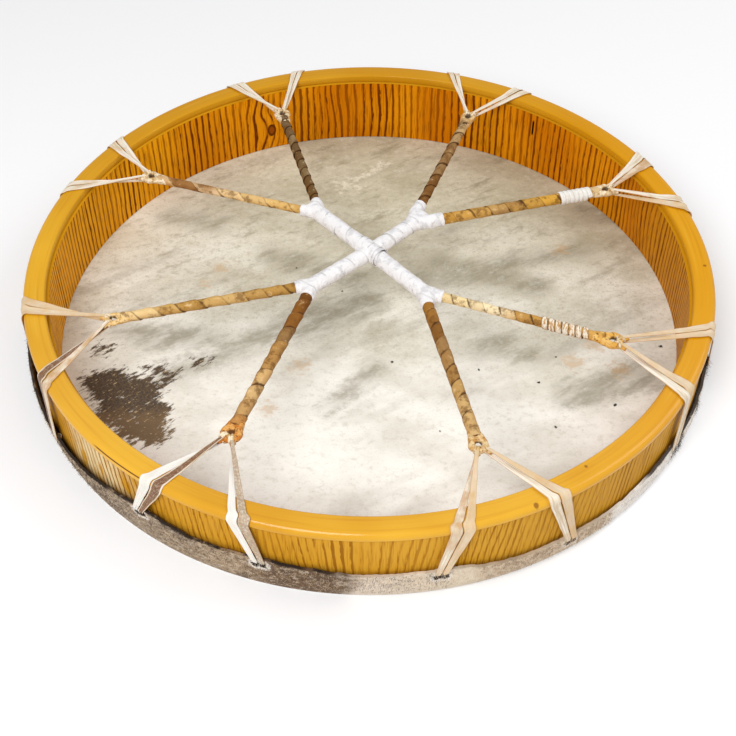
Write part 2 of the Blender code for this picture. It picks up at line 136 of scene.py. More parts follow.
# Coils of cord over a spoke: name, place of the spoke, distance of its outer end from the eye, length, turns,
# and how much of the way from turn to turn the cord covers
COILS = (
    ("spoke_1_coil", 0, 0.0130, 0.0250, 7, 1.12),
    ("spoke_8_coil", 7, 0.0170, 0.0340, 7, 0.9),
)

# Arms of the grip: name, direction, length, half angle between its branches, its two spokes, how far the
# crotch between the branches is filled, and how far behind their tips a bar joins them
Arm = namedtuple("Arm", "name angle length half_fork spokes filled inset")
ARMS = tuple(Arm(*row) for row in (
    ("ne", 44.3, 0.0657, 10.2, (0, 1), 0.45, 0.0095),
    ("nw", 132.1, 0.0713, 5.9, (2, 3), 0.78, 0.0045),
    ("sw", 221.3, 0.0668, 5.6, (4, 5), 0.78, 0.0045),
    ("se", 310.5, 0.0707, 5.9, (6, 7), 0.78, 0.0045),
))

# The arm that the tape over the grip's middle runs along
ARM_OVER = ARMS[1]

# Camera: where it stands, how far it looks down, and its lens for a 36 mm wide film
CAMERA_PLACE = (-0.00095, -0.71214, 0.69822)
CAMERA_TILT = math.radians(43.50)
CAMERA_LENS = 63.48


def paint(red, green, blue):
    """A screen colour of 0 to 255 as the linear colour that shaders use."""
    def linear(value):
        share = value / 255
        return share / 12.92 if share <= 0.04045 else ((share + 0.055) / 1.055) ** 2.4

    return (linear(red), linear(green), linear(blue), 1.0)


# Colours of the wrapping along each spoke, from the grip outwards: share of the length, then the colour
WRAP_TINTS = {
    "spoke_1": ((0.0, 196, 146, 62), (0.22, 210, 164, 88), (0.36, 132, 86, 32),
                (0.46, 206, 158, 72), (0.62, 210, 158, 60), (0.78, 196, 140, 60),
                (0.94, 206, 176, 128), (1.0, 214, 186, 140)),
    "spoke_2": ((0.0, 120, 78, 30), (0.35, 128, 88, 42), (0.55, 150, 110, 62),
                (0.75, 184, 150, 102), (0.88, 206, 172, 120), (1.0, 198, 164, 112)),
    "spoke_3": ((0.0, 104, 76, 36), (0.4, 92, 66, 32), (0.7, 120, 94, 58),
                (1.0, 88, 64, 36)),
    "spoke_4": ((0.0, 214, 170, 96), (0.3, 230, 192, 128), (0.54, 226, 192, 148),
                (0.61, 150, 104, 56), (0.73, 158, 110, 60), (0.84, 194, 144, 86),
                (1.0, 214, 190, 154)),
    "spoke_5": ((0.0, 176, 132, 62), (0.3, 200, 160, 94), (0.6, 186, 142, 68),
                (0.86, 232, 200, 142), (1.0, 228, 192, 132)),
    "spoke_6": ((0.0, 104, 60, 8), (0.12, 150, 96, 34), (0.24, 106, 64, 12),
                (0.4, 178, 128, 60), (0.62, 208, 168, 110), (0.85, 190, 148, 92),
                (1.0, 182, 122, 56)),
    "spoke_7": ((0.0, 160, 110, 44), (0.2, 128, 84, 34), (0.45, 160, 116, 58),
                (0.7, 194, 154, 92), (1.0, 210, 174, 120)),
    "spoke_8": ((0.0, 240, 214, 158), (0.3, 244, 226, 186), (0.42, 198, 150, 76),
                (0.7, 190, 140, 66), (0.85, 206, 156, 78), (1.0, 212, 160, 76)),
}

# How dark the painted shadow at the laps of each wrapping is, from 0 to 1
WRAP_LAP_SHADOWS = {"spoke_1": 0.7, "spoke_2": 0.7, "spoke_3": 0.8, "spoke_4": 0.65, "spoke_5": 0.6,
              "spoke_6": 0.85, "spoke_7": 0.8, "spoke_8": 0.8}


def polar(radius, angle, height=0.0):
    return Vector((radius * math.cos(angle), radius * math.sin(angle), height))


def ripple(x, y=0.0, z=0.0):
    """Smooth noise from about -1 to 1, the same each run."""
    return noise.noise(Vector((x, y, z)))


def slit_angle_of(lace):
    """Angle of a thong's pair of slits: it leans on, away from its spoke."""
    crossing = math.radians(lace.angle)
    eye_angle = math.radians(SPOKES[lace.spoke].angle)
    return crossing + math.copysign(THONG_LEAN, math.sin(crossing - eye_angle))


@functools.lru_cache(maxsize=None)
def collar_height(angle):
    """Height of the collar's edge at an angle: drawn up by the thongs, sagging between them."""
    before = min(LACES, key=lambda lace: (angle - slit_angle_of(lace)) % math.tau)
    after = min(LACES, key=lambda lace: (slit_angle_of(lace) - angle) % math.tau)
    span = (slit_angle_of(after) - slit_angle_of(before)) % math.tau
    if span < 0.0001:
        return before.edge
    share = ((angle - slit_angle_of(before)) % math.tau) / span
    eased = share * share * (3 - 2 * share)
    return before.edge + (after.edge - before.edge) * eased - COLLAR_SAG * math.sin(math.pi * share) ** 2


@functools.lru_cache(maxsize=None)
def slit_distance(angle):
    """Distance along the collar from an angle to the nearest pair of slits."""
    return HEAD_RADIUS * min(abs(math.remainder(angle - slit_angle_of(lace), math.tau)) for lace in LACES)


def slits_of(laces):
    """Angle and height of each hole that a strand of these thongs goes through."""
    return [(slit_angle_of(lace) + side * SLIT_HALF_SPACING / HEAD_RADIUS, lace.edge - SLIT_BELOW_EDGE)
            for lace in laces for side in (-1, 1)]


class Socket:
    """A shader output that takes part in Python arithmetic."""

    def __init__(self, finish, output):
        self.finish = finish
        self.output = output

    def __add__(self, other):
        return self.finish.maths("ADD", self, other)

    def __sub__(self, other):
        return self.finish.maths("SUBTRACT", self, other)

    def __rsub__(self, other):
        return self.finish.maths("SUBTRACT", other, self)

    def __mul__(self, other):
        return self.finish.maths("MULTIPLY", self, other)

    def __truediv__(self, other):
        return self.finish.maths("DIVIDE", self, other)

    __radd__ = __add__
    __rmul__ = __mul__


class Nodes:
    """A node tree, and the ways to add to it."""

    def __init__(self, tree):
        self.tree = tree

    def node(self, kind, settings=None, values=None, output=0):
        """Add a node: its settings first, then the values or links of its sockets."""
        made = self.tree.nodes.new(kind)
        for setting, value in (settings or {}).items():
            if setting == "stops":
                self.set_stops(made.color_ramp, value)
            else:
                setattr(made, setting, value)
        for socket, value in (values or {}).items():
            self.feed(made.inputs[socket], value)
        return Socket(self, made.outputs[output])

    def set_stops(self, ramp, stops):
        """Give a colour ramp its stops of (position, red, green, blue)."""
        while len(ramp.elements) < len(stops):
            ramp.elements.new(1.0)
        for element, (position, *tone) in zip(ramp.elements, stops):
            element.position = position
            element.color = paint(*tone)

    def feed(self, target, value):
        if isinstance(value, Socket):
            self.tree.links.new(value.output, target)
        else:
            target.default_value = value

    def maths(self, operation, *values):
        return self.node("ShaderNodeMath", {"operation": operation}, dict(enumerate(values)))

    def length(self, *sides):
        """Root of the sum of the sides' squares."""
        return self.maths("SQRT", sum(side * side for side in sides))

    def vector(self, x, y, z):
        return self.node("ShaderNodeCombineXYZ", values={"X": x, "Y": y, "Z": z})

    def split(self, vector):
        parts = self.tree.nodes.new("ShaderNodeSeparateXYZ")
        self.feed(parts.inputs[0], vector)
        return [Socket(self, output) for output in parts.outputs]

    def seen_directly(self):
        """1 for rays from the camera, off a gloss or through a clear surface, and else 0."""
        rays = self.tree.nodes.new("ShaderNodeLightPath").outputs
        seen = Socket(self, rays["Is Camera Ray"])
        for kind in ("Is Glossy Ray", "Is Transmission Ray"):
            seen = self.maths("MAXIMUM", seen, Socket(self, rays[kind]))
        return seen


class Finish(Nodes):
    """One material with its node tree, and the patterns that its colours are laid in."""

    def __init__(self, name, **constants):
        self.material = bpy.data.materials.new(name)
        self.material.use_nodes = True
        super().__init__(self.material.node_tree)
        self.shader = self.tree.nodes["Principled BSDF"]
        for socket, value in constants.items():
            self.shader.inputs[socket.replace("_", " ")].default_value = value
        self.x, self.y, self.z = self.split(self.node("ShaderNodeTexCoord", output="Object"))

    def turn(self):
        """Angle round the drum's axis."""
        return self.maths("ARCTAN2", self.y, self.x)

    def stretched(self, x, y, z):
        """Object coordinates with each axis scaled."""
        return self.vector(self.x * x, self.y * y, self.z * z)

    def slanted(self, x_by_x, x_by_y, y_by_x, y_by_y, z=0.0):
        """Object coordinates sheared, so that what they carry lies aslant on the hide."""
        return self.vector(self.x * x_by_x + self.y * x_by_y, self.x * y_by_x + self.y * y_by_y, z)

    def noise(self, vector, detail=2.0, roughness=0.5):
        return self.node("ShaderNodeTexNoise", values={"Vector": vector, "Scale": 1.0, "Detail": detail,
                                                       "Roughness": roughness})

    def ramp(self, stops, share):
        return self.node("ShaderNodeValToRGB", {"stops": stops}, {"Fac": share})

    def step(self, value, low, high, bottom=0.0, top=1.0):
        """A soft step from bottom to top as value goes from low to high."""
        return self.node("ShaderNodeMapRange", {"interpolation_type": "SMOOTHSTEP"},
                         {"Value": value, "From Min": low, "From Max": high, "To Min": bottom, "To Max": top})

    def mix(self, share, first, second):
        return self.node("ShaderNodeMix", {"data_type": "RGBA"}, {0: share, 6: first, 7: second}, output=2)

    def layered(self, colour, *layers):
        """A colour with others laid over it, each as (share, red, green, blue), the share from 0 to 1."""
        for share, *tone in layers:
            colour = self.mix(share, colour, paint(*tone))
        return colour

    def greatest(self, masks):
        return functools.reduce(lambda first, second: self.maths("MAXIMUM", first, second), masks)

    def near(self, spots, soften, ragged=0.0):
        """1 on each spot of (x, y, radius), falling to 0 outside it."""
        return self.greatest([
            self.step(self.length(self.x - x, self.y - y) + ragged, radius + soften, radius - soften)
            for x, y, radius in spots])

    def beside(self, runs, soften, ragged=0.0):
        """1 along each run of (x, y, end x, end y, half width), falling to 0 beside it."""
        masks = []
        for x, y, end_x, end_y, half in runs:
            length = math.hypot(end_x - x, end_y - y)
            east = (end_x - x) / length
            north = (end_y - y) / length
            ahead = (self.x - x) * east + (self.y - y) * north - length / 2
            past = self.maths("MAXIMUM", self.maths("ABSOLUTE", ahead) - length / 2, 0.0)
            aside = (self.y - y) * east - (self.x - x) * north
            masks.append(self.step(self.length(past, aside) + ragged, half + soften, half - soften))
        return self.greatest(masks)

    def uv(self):
        """The piece's own map: along it, across it."""
        return self.split(self.node("ShaderNodeUVMap", {"uv_map": "UVMap"}))[:2]

    def bump(self, height, distance, strength=1.0):
        values = {"Strength": strength, "Distance": distance, "Height": height}
        self.feed(self.shader.inputs["Normal"], self.node("ShaderNodeBump", values=values))

    def use(self, **inputs):
        for socket, value in inputs.items():
            self.feed(self.shader.inputs[socket.replace("_", " ")], value)
        return self.material


# Figures in the inner wall's grain: angle in degrees, height over the floor, half width, half height, and how
# far the lines bend round it. The first of them has a knot at its heart.
GRAIN_FIGURES = ((111.4, 0.0208, 0.009, 0.013, 7.0), (114.0, 0.058, 0.012, 0.010, 5.0),
                 (20.5, 0.040, 0.018, 0.026, -9.0), (86.0, 0.034, 0.014, 0.030, 3.0),
                 (97.0, 0.050, 0.010, 0.016, -3.0))
KNOT_HALF_WIDTH = 0.004
KNOT_HALF_HEIGHT = 0.006
CRACK_ANGLE = math.radians(53.6)
CREAM_FROM = math.radians(-146), math.radians(-140)
CREAM_TO = math.radians(-124), math.radians(-132)


def wall_wood(looks):
    """Varnished open-grained wood: thin dark lines run up and down the wall and bend round its figures."""
    wood = Finish("wall_wood", Specular_IOR_Level=0.03)
    turn = wood.turn()
    east = wood.maths("COSINE", turn)
    outside = wood.step(wood.length(wood.x, wood.y), HOOP_RADIUS - WALL * 0.6, HOOP_RADIUS - WALL * 0.4)
    inside = 1 - outside
    sway = wood.noise(wood.stretched(26, 26, 14), detail=2)
    wobble = wood.noise(wood.stretched(110, 110, 34), detail=2)
    jag = wood.noise(wood.stretched(620, 620, 150), detail=1)

    def away_from(degrees, height, half_width, half_height):
        middle = polar(HOOP_RADIUS - WALL, math.radians(degrees))
        return wood.length((wood.x - middle.x) / half_width, (wood.y - middle.y) / half_width,
                           (wood.z - height) / half_height)

    bends = 0.0
    for *figure, bend in GRAIN_FIGURES:
        bends = wood.step(away_from(*figure), 2.2, 0.0, 0.0, bend) + bends
    lean = wood.step(east, -0.15, 0.15, 150.0, -230.0) * outside * wood.z
    phase = turn * looks.grain_lines + wood.maths("SINE", turn + math.pi / 2) * 50.0
    phase = phase + sway * 7.0 + wobble * 1.8 + jag * 1.3 + bends * inside + lean
    wave = wood.maths("SINE", phase)
    bold = wood.step(wood.noise(wood.stretched(34, 34, 6)), 0.34, 0.6, 0.45, 1.0)
    spread = wood.noise(wood.stretched(58, 58, 4), detail=1)
    line = wood.step(wave + (jag - 0.5) * 0.9 + (spread - 0.5) * 1.7, 0.60, 0.96) * bold
    halo = wood.step(wave, -0.2, 0.95)
    pores = wood.step(wood.noise(wood.stretched(1000, 1000, 60), detail=1), 0.5, 0.7)
    pale = wood.step(wood.noise(wood.stretched(12, 12, 6)), 0.42, 0.62)
    inner = wood.layered(
        wood.mix(pale, tuple(looks.wall_inside), tuple(looks.wall_light)),
        # Painted shade: a duller olive amber on the inner wall's left and right sides. Painted light: its left
        # side lighter.
        (wood.step(wood.maths("ABSOLUTE", east), 0.86, 0.99) * 0.7, 206, 146, 24),
        (wood.step(east, -0.45, -0.92) * 0.85, 244, 172, 16))
    ragged_turn = turn + (sway - 0.5) * 0.25
    cream = wood.step(ragged_turn, *CREAM_FROM) * wood.step(ragged_turn, *CREAM_TO)
    outer = wood.layered(
        wood.mix(pale, tuple(looks.wall_outside), paint(208, 154, 50)),
        (cream * wood.step(wobble, 0.36, 0.56) * 0.8, 232, 214, 168))
    shade = wood.mix(outside, paint(168, 90, 2), paint(184, 124, 26))
    ink = wood.mix(outside, tuple(looks.wall_lines), paint(138, 84, 12))
    colour = wood.mix(outside, inner, outer)
    colour = wood.mix(halo * wood.step(outside, 0.0, 1.0, 0.6, 0.4), colour, shade)
    colour = wood.mix(line * wood.step(outside, 0.0, 1.0, 0.95, 0.8), colour, ink)
    colour = wood.mix(pores * 0.38, colour, ink)
    heart = away_from(*GRAIN_FIGURES[0][:2], KNOT_HALF_WIDTH, KNOT_HALF_HEIGHT) + (wobble - 0.5) * 0.6
    crack_at = polar(HOOP_RADIUS - WALL, CRACK_ANGLE)
    crack = wood.step(wood.length(wood.x - crack_at.x, wood.y - crack_at.y), 0.0012, 0.0006)
    crack = crack * wood.step(wood.z, 0.036, 0.039) * wood.step(wood.z, 0.053, 0.050)
    colour = wood.layered(
        colour,
        (wood.step(heart, 1.1, 0.85) * inside, 96, 46, 2),
        (wood.step(heart, 0.75, 0.35) * inside, 150, 74, 8),
        (crack * inside, 20, 10, 2))
    under_rim = wood.step(wood.z, HOOP_HIGH.z - 0.0006, HOOP_HIGH.z - 0.0002)
    colour = wood.mix(under_rim, colour, tuple(looks.rim_dark))
    wood.bump(line * 0.8 + pores * 0.4, 0.0003, 0.4)
    return wood.use(Base_Color=colour, Roughness=wood.step(line, 0.0, 1.0, 0.42, 0.6))


# Marks on the rim: spots of (x, y, radius), and the angles between which its outer ply shows its seam
RIM_SPECKS = ((0.136, -0.196, 0.0012), (0.102, -0.226, 0.0016), (0.244, -0.008, 0.0013),
              (0.214, 0.084, 0.0012))
RIM_SEAM = math.radians(-135), math.radians(-124)


def rim_wood(looks):
    """Smooth amber wood whose faint grain runs round the band."""
    wood = Finish("rim_wood", Coat_Roughness=0.12, Specular_IOR_Level=0.05)
    radius = wood.length(wood.x, wood.y)
    along = wood.vector(wood.x * 9.0 / radius * RIM_RADIUS, wood.y * 9.0 / radius * RIM_RADIUS,
                        radius * 420.0 + wood.z * 260.0)
    grain = wood.noise(along, detail=4, roughness=0.6)
    broad = wood.noise(wood.stretched(9, 9, 9), detail=2)
    turn = wood.turn()
    low, high = RIM_SEAM
    seam = wood.step(wood.maths("ABSOLUTE", wood.z - (DEPTH - RIM_ROUNDING / 2)), 0.0006, 0.0002)
    seam = seam * wood.step(turn, low - 0.01, low + 0.02) * wood.step(turn, high + 0.01, high - 0.03)
    colour = wood.layered(
        wood.mix(wood.step(broad, 0.35, 0.65), tuple(looks.rim_dark), tuple(looks.rim_light)),
        # Painted shade: the rim darker towards the back and a deeper, darker orange on its right side.
        (wood.step(wood.y, 0.0, 0.22) * 0.5, 190, 128, 4),
        (wood.step(wood.x, 0.06, 0.23) * 0.7, 214, 146, 0),
        (wood.step(grain, 0.48, 0.72) * 0.35, 188, 120, 10),
        (wood.step(grain, 0.44, 0.22) * 0.35, 234, 186, 76),
        (wood.near(RIM_SPECKS, 0.0005, (grain - 0.5) * 0.002) * 0.75, 120, 62, 8),
        (seam * wood.step(radius, RIM_RADIUS - 0.005, RIM_RADIUS - 0.003), 96, 50, 6))
    wood.bump(grain, 0.0002, 0.2)
    return wood.use(Base_Color=colour, Roughness=wood.step(grain, 0.3, 0.7, 0.3, 0.42),
                    Coat_Weight=wood.step(wood.y, 0.0, -0.16, 0.12, 0.5))


# Marks on the hide, as (x, y, radius) in metres
TAN_MARKS = ((-0.119, 0.059, 0.0045), (-0.130, 0.039, 0.0025), (-0.052, -0.049, 0.0055),
             (-0.073, -0.093, 0.005), (0.155, 0.081, 0.004), (0.151, -0.045, 0.006), (0.170, -0.027, 0.0045),
             (0.186, -0.053, 0.006))
SPECKS = ((0.017, -0.045, 0.0012), (0.124, -0.066, 0.0012), (0.132, -0.109, 0.0011), (0.177, -0.088, 0.0014),
          (0.219, -0.029, 0.0015), (0.050, -0.113, 0.0009), (0.081, -0.053, 0.0009), (0.139, -0.040, 0.0009),
          (-0.021, 0.032, 0.0008), (-0.058, 0.059, 0.0007))
DARK_PATCH = ((-0.190, -0.069, 0.017), (-0.168, -0.075, 0.017), (-0.158, -0.096, 0.016),
              (-0.182, -0.092, 0.016), (-0.154, -0.112, 0.013), (-0.201, -0.066, 0.011),
              (-0.169, -0.111, 0.012))
PATCH_WISPS = ((-0.204, -0.032, -0.194, -0.031, 0.003), (-0.129, -0.045, -0.120, -0.045, 0.002),
               (-0.165, -0.050, -0.141, -0.057, 0.003), (-0.150, -0.062, -0.140, -0.058, 0.002))

# Pale veins in the hide, as (x, y, end x, end y, half width) in metres
PALE_VEINS = ((-0.024, 0.157, -0.006, 0.176, 0.0022), (-0.006, 0.176, 0.016, 0.194, 0.0026),
              (-0.030, 0.168, -0.010, 0.162, 0.0015))

# Grey bands across the hide, as (x, y, end x, end y, half width) in metres
GREY_BANDS = ((-0.076, 0.074, -0.012, 0.046, 0.011), (0.040, 0.046, 0.176, 0.080, 0.009),
              (-0.151, -0.061, -0.066, -0.012, 0.012), (-0.066, -0.012, -0.003, 0.016, 0.015),
              (-0.192, -0.010, -0.101, -0.028, 0.010), (-0.166, 0.124, -0.127, 0.111, 0.007),
              (0.177, 0.136, 0.212, 0.113, 0.007), (0.091, -0.027, 0.121, -0.039, 0.010),
              (0.206, -0.060, 0.150, -0.075, 0.012), (-0.030, -0.096, 0.006, -0.048, 0.0045),
              (0.060, 0.060, 0.130, 0.040, 0.012))

# Tones of the hair left on the collar, by share of the turn from the left of the drum and round by the front
COLLAR_TONES = ((0.014, 70, 58, 52), (0.083, 106, 86, 66), (0.150, 146, 126, 104),
                (0.196, 160, 136, 108), (0.208, 110, 84, 58), (0.238, 100, 74, 48),
                (0.246, 222, 206, 188), (0.290, 216, 200, 176), (0.302, 200, 180, 154),
                (0.350, 206, 188, 164), (0.364, 238, 234, 228),
                (0.450, 232, 228, 222), (0.475, 120, 98, 80), (0.560, 196, 176, 150),
                (0.960, 176, 156, 132))


# Thongs at the front, round whose slits the hide shows torn
FRONT_LACES = tuple(lace for lace in LACES if lace.spoke in (5, 6))


def parchment(hide, cloud, grit, fine, looks):
    """Cream parchment, beige and darker at the back (partly its own tone, partly painted shade) and lighter at
    the left of the back (painted light), with grey bands and a haired patch; with it, where the patch is.
    """
    streak = hide.noise(hide.slanted(7, -3, -13, 22), detail=4, roughness=0.6)
    smudge = hide.noise(hide.slanted(38, -14, -32, 70, 1.0), detail=5, roughness=0.7)
    torn = hide.noise(hide.slanted(62, 50, -150, 190), detail=5, roughness=0.72)
    flecks = hide.noise(hide.slanted(170, 130, -330, 420, 3.0), detail=3, roughness=0.7)
    # Painted shade together with the hide's own tone: beige and darker towards the back.
    back = hide.step(hide.y + (cloud - 0.5) * 0.16, -0.13, 0.17)
    # Painted light: at the back the parchment is lighter towards the left.
    left = hide.step(hide.x, -0.04, -0.19)
    pale_back = hide.mix(left, paint(212, 205, 180), paint(230, 226, 210))
    shade_back = hide.mix(left, paint(182, 173, 144), paint(210, 201, 179))
    pale = hide.mix(back, tuple(looks.hide_pale), pale_back)
    shade = hide.mix(back, tuple(looks.hide_shade), shade_back)
    bands = hide.beside(GREY_BANDS, 0.010, (fine - 0.5) * 0.04 + (streak - 0.5) * 0.05)
    scraped = hide.layered(
        hide.mix(hide.step(cloud, 0.36, 0.64) * hide.step(back, 0.0, 1.0, 0.55, 0.85), pale, shade),
        (hide.step(streak, 0.52, 0.70) * hide.step(back, 0.1, 0.5, 0.25, 0.5), 160, 152, 136),
        (bands * hide.step(smudge, 0.36, 0.60, 0.36, 0.74), 138, 130, 108),
        (hide.step(smudge, 0.52, 0.70) * back * 0.7, 150, 140, 112),
        (hide.beside(PALE_VEINS, 0.003, (fine - 0.5) * 0.03) * 0.55, 240, 234, 212),
        (hide.step(fine, 0.50, 0.70) * hide.step(back, 0.1, 0.5, 0.26, 0.46), 164, 154, 130),
        (hide.step(fine, 0.48, 0.34) * 0.18, 248, 247, 240),
        (hide.step(grit, 0.52, 0.7) * hide.step(back, 0.1, 0.5, 0.16, 0.34), 140, 128, 106),
        (hide.near(TAN_MARKS, 0.0045, (fine - 0.5) * 0.04) * 0.45, 192, 148, 84))
    patch = hide.maths("MAXIMUM", hide.near(DARK_PATCH, 0.0022, (torn - 0.5) * 0.044),
                       hide.beside(PATCH_WISPS, 0.0025, (torn - 0.5) * 0.05))
    brown = hide.layered(
        hide.mix(hide.step(grit, 0.35, 0.68), paint(40, 27, 14), paint(92, 68, 38)),
        (hide.step(hide.y + (torn - 0.5) * 0.03, -0.088, -0.102) * 0.6, 124, 96, 58),
        (hide.step(flecks, 0.58, 0.68), 194, 170, 126))
    specks = hide.near(SPECKS, 0.0004, (grit - 0.47) * 0.0035)
    return hide.layered(hide.mix(patch * 0.96, scraped, brown), (specks, 30, 26, 20)), patch


def haired_collar(hide, lie, looks):
    """Hair on the collar: dark at the left, pale at the right, darkest at its edge where shadow is painted
    too, torn round the slits, with painted shadow in them.
    """
    around = hide.turn()
    clump = hide.noise(hide.stretched(70, 70, 110), detail=3)
    dark_side = hide.step(around + (clump - 0.5) * 0.3, -1.58, -1.68, 0.3, 1.0)
    right_side = hide.step(around, -0.78, -0.72) * hide.step(around, -0.06, -0.12)
    outward = hide.uv()[1] + (lie - 0.5) * 0.12 + (clump - 0.5) * 0.16
    lips = 0.0
    slit_shadows = 0.0
    for angle, height in slits_of(FRONT_LACES):
        slit = polar(HEAD_RADIUS, angle, height - 0.001)
        away = hide.length(hide.x - slit.x, hide.y - slit.y, hide.z - slit.z) + (lie - 0.5) * 0.008
        lips = hide.maths("MAXIMUM", hide.step(away, 0.0054, 0.0044), lips)
        # Painted shadow: dark hide round each slit's hole.
        slit_shadows = hide.maths("MAXIMUM", hide.step(away, 0.0032, 0.0024), slit_shadows)
    tone = hide.layered(
        hide.ramp(COLLAR_TONES, around / math.tau + 0.5 + (clump - 0.5) * 0.02),
        (hide.step(lie, 0.50, 0.64) * dark_side * 0.6, 212, 198, 180))
    return hide.layered(
        hide.mix(hide.step(lie, 0.48, 0.34) * dark_side * 0.7, tone, tuple(looks.hair_dark)),
        (hide.step(clump, 0.54, 0.66) * dark_side * 0.5, 72, 54, 42),
        # Darker along the collar's edge: partly its dark hair, partly painted shadow of the gap between collar
        # and hoop.
        (hide.step(outward, 0.955, 0.995) * dark_side, 34, 24, 16),
        (hide.step(outward + (clump - 0.5) * 0.1, 0.935, 0.975) * right_side * 0.92, 36, 25, 17),
        (lips * 0.85, 234, 226, 214),
        (slit_shadows, 26, 18, 12))


def scraped_hide(looks):
    """The hide: scraped parchment inside the drum and on its face, hair left on the collar."""
    hide = Finish("scraped_hide", Specular_IOR_Level=0.3)
    cloud = hide.noise(hide.stretched(10, 17, 10), detail=4, roughness=0.6)
    grit = hide.noise(hide.stretched(560, 560, 560), detail=3, roughness=0.7)
    fine = hide.noise(hide.stretched(170, 220, 170), detail=5, roughness=0.7)
    lie = hide.noise(hide.stretched(260, 260, 520), detail=4, roughness=0.75)
    scraped, patch = parchment(hide, cloud, grit, fine, looks)
    collar = hide.step(hide.length(hide.x, hide.y), HOOP_RADIUS + 0.0002, HOOP_RADIUS + 0.0010)
    hide.bump(fine * 0.6 + grit * 0.25 + collar * lie * 1.6 + patch * grit * 0.6, 0.0006, 0.5)
    return hide.use(Base_Color=hide.mix(collar, scraped, haired_collar(hide, lie, looks)),
                    Roughness=hide.step(cloud, 0.3, 0.7, 0.6, 0.85))


def thong_hide(name, kinds, looks):
    """Dry translucent rawhide, streaked along its length, its two strands of their own kinds."""
    thong = Finish(name, Specular_IOR_Level=0.3, Subsurface_Weight=0.10, Subsurface_Scale=0.002)
    along, across = thong.uv()
    second = thong.step(along, 0.495, 0.505)
    side = thong.maths("ABSOLUTE", across - 0.5)
    streaks = thong.noise(thong.vector(along * 7.0, across * 3.0, thong.z * 4.0), detail=3, roughness=0.6)
    blotch = thong.noise(thong.stretched(80, 80, 50), detail=3)
    speckle = thong.noise(thong.stretched(640, 640, 640), detail=3, roughness=0.7)
    hairs = thong.noise(thong.vector(along * 70.0, across * 30.0, 0.0), detail=3, roughness=0.7)
    colour = thong.layered(
        thong.mix(thong.step(streaks, 0.34, 0.60), tuple(looks.thong_shade), tuple(looks.thong_pale)),
        (thong.step(blotch, 0.54, 0.70) * 0.5, 200, 170, 126),
        (thong.step(side, 0.40, 0.5) * 0.6, 188, 146, 92))
    for kind, here in zip(kinds, (1 - second, second)):
        if kind == "amber":
            stain = thong.step(streaks * 0.5 + blotch * 0.5, 0.45, 0.56)
            colour = thong.layered(colour, (stain * here * 0.7, 186, 138, 78))
        if kind == "tan":
            stain = thong.step(streaks * 0.6 + blotch * 0.4, 0.40, 0.56, 0.25, 0.7)
            colour = thong.layered(colour, (stain * here, 206, 168, 112))
        if kind == "white":
            colour = thong.layered(colour, (here * 0.7, 230, 228, 224))
        if kind == "speckled":
            flecked = thong.step(speckle * 0.5 + hairs * 0.5, 0.40, 0.56, 0.3, 0.85)
            colour = thong.layered(colour, (flecked * here, 150, 124, 98))
        if kind == "haired":
            strip = thong.step(side, 0.44, 0.30) * thong.step(hairs, 0.34, 0.50, 0.35, 1.0)
            colour = thong.layered(colour, (strip * here, 112, 72, 40))
    thong.bump(streaks + side * 0.4, 0.0004, 0.35)
    return thong.use(Base_Color=colour, Roughness=thong.step(streaks, 0.3, 0.7, 0.45, 0.65))


def wrapping_hide(name, stops, turns, lap_shadow):
    """Wound hide strip: each turn in a tone of its own, with painted shadow where the next turn lies over it
    and painted shade along its near edge.
    """
    strip = Finish(name, Specular_IOR_Level=0.14)
    along, across = strip.uv()
    mottle = strip.noise(strip.stretched(150, 150, 150), detail=4, roughness=0.65)
    blotch = strip.noise(strip.stretched(52, 52, 52), detail=2)
    turned = along * (turns + 1.0) - 1.0
    number = strip.maths("FLOOR", turned)
    which = strip.node("ShaderNodeTexWhiteNoise", {"noise_dimensions": "1D"}, {"W": number})
    colour = strip.layered(
        strip.ramp(stops, turned / turns + (blotch - 0.5) * 0.2),
        (strip.step(which, 0.55, 1.0) * 0.16, 232, 204, 150),
        (strip.step(which, 0.45, 0.0) * 0.2, 118, 78, 32),
        (strip.step(mottle, 0.48, 0.64) * 0.65, 104, 66, 26),
        (strip.step(mottle, 0.42, 0.26) * 0.5, 242, 212, 160),
        # Painted shadow where the next turn's edge lies over this one, and painted shade along this turn's
        # near edge.
        (strip.step(across + (mottle - 0.5) * 0.3, 0.76, 0.86) * lap_shadow, 58, 30, 8),
        (strip.step(across, 0.06, 0.0) * lap_shadow * 0.7, 96, 54, 18))
    strip.bump(mottle, 0.0006, 0.5)
    return strip.use(Base_Color=colour, Roughness=strip.step(mottle, 0.3, 0.7, 0.5, 0.7))


def bundle_hide(looks):
    """Twisted thongs in the shade of their wrapping."""
    bundle = Finish("twisted_bundle", Specular_IOR_Level=0.3)
    fibres = bundle.noise(bundle.stretched(300, 300, 300), detail=3)
    colour = bundle.mix(bundle.step(fibres, 0.35, 0.65), tuple(looks.bundle_colour), paint(146, 100, 52))
    bundle.bump(fibres, 0.0005, 0.5)
    return bundle.use(Base_Color=colour, Roughness=0.75)


# Finishes of the knots: the hide's two tones in patches, then the painted shade of its creases
KNOT_TONES = {
    "pale": ((236, 220, 190), (206, 172, 118), (150, 104, 54)),
    "cream": ((226, 196, 146), (196, 148, 82), (130, 84, 36)),
    "soft": ((232, 200, 142), (216, 172, 100), (160, 110, 52)),
    "golden": ((216, 160, 70), (232, 186, 108), (84, 46, 14)),
    "orange": ((196, 122, 48), (220, 164, 90), (84, 46, 14)),
}


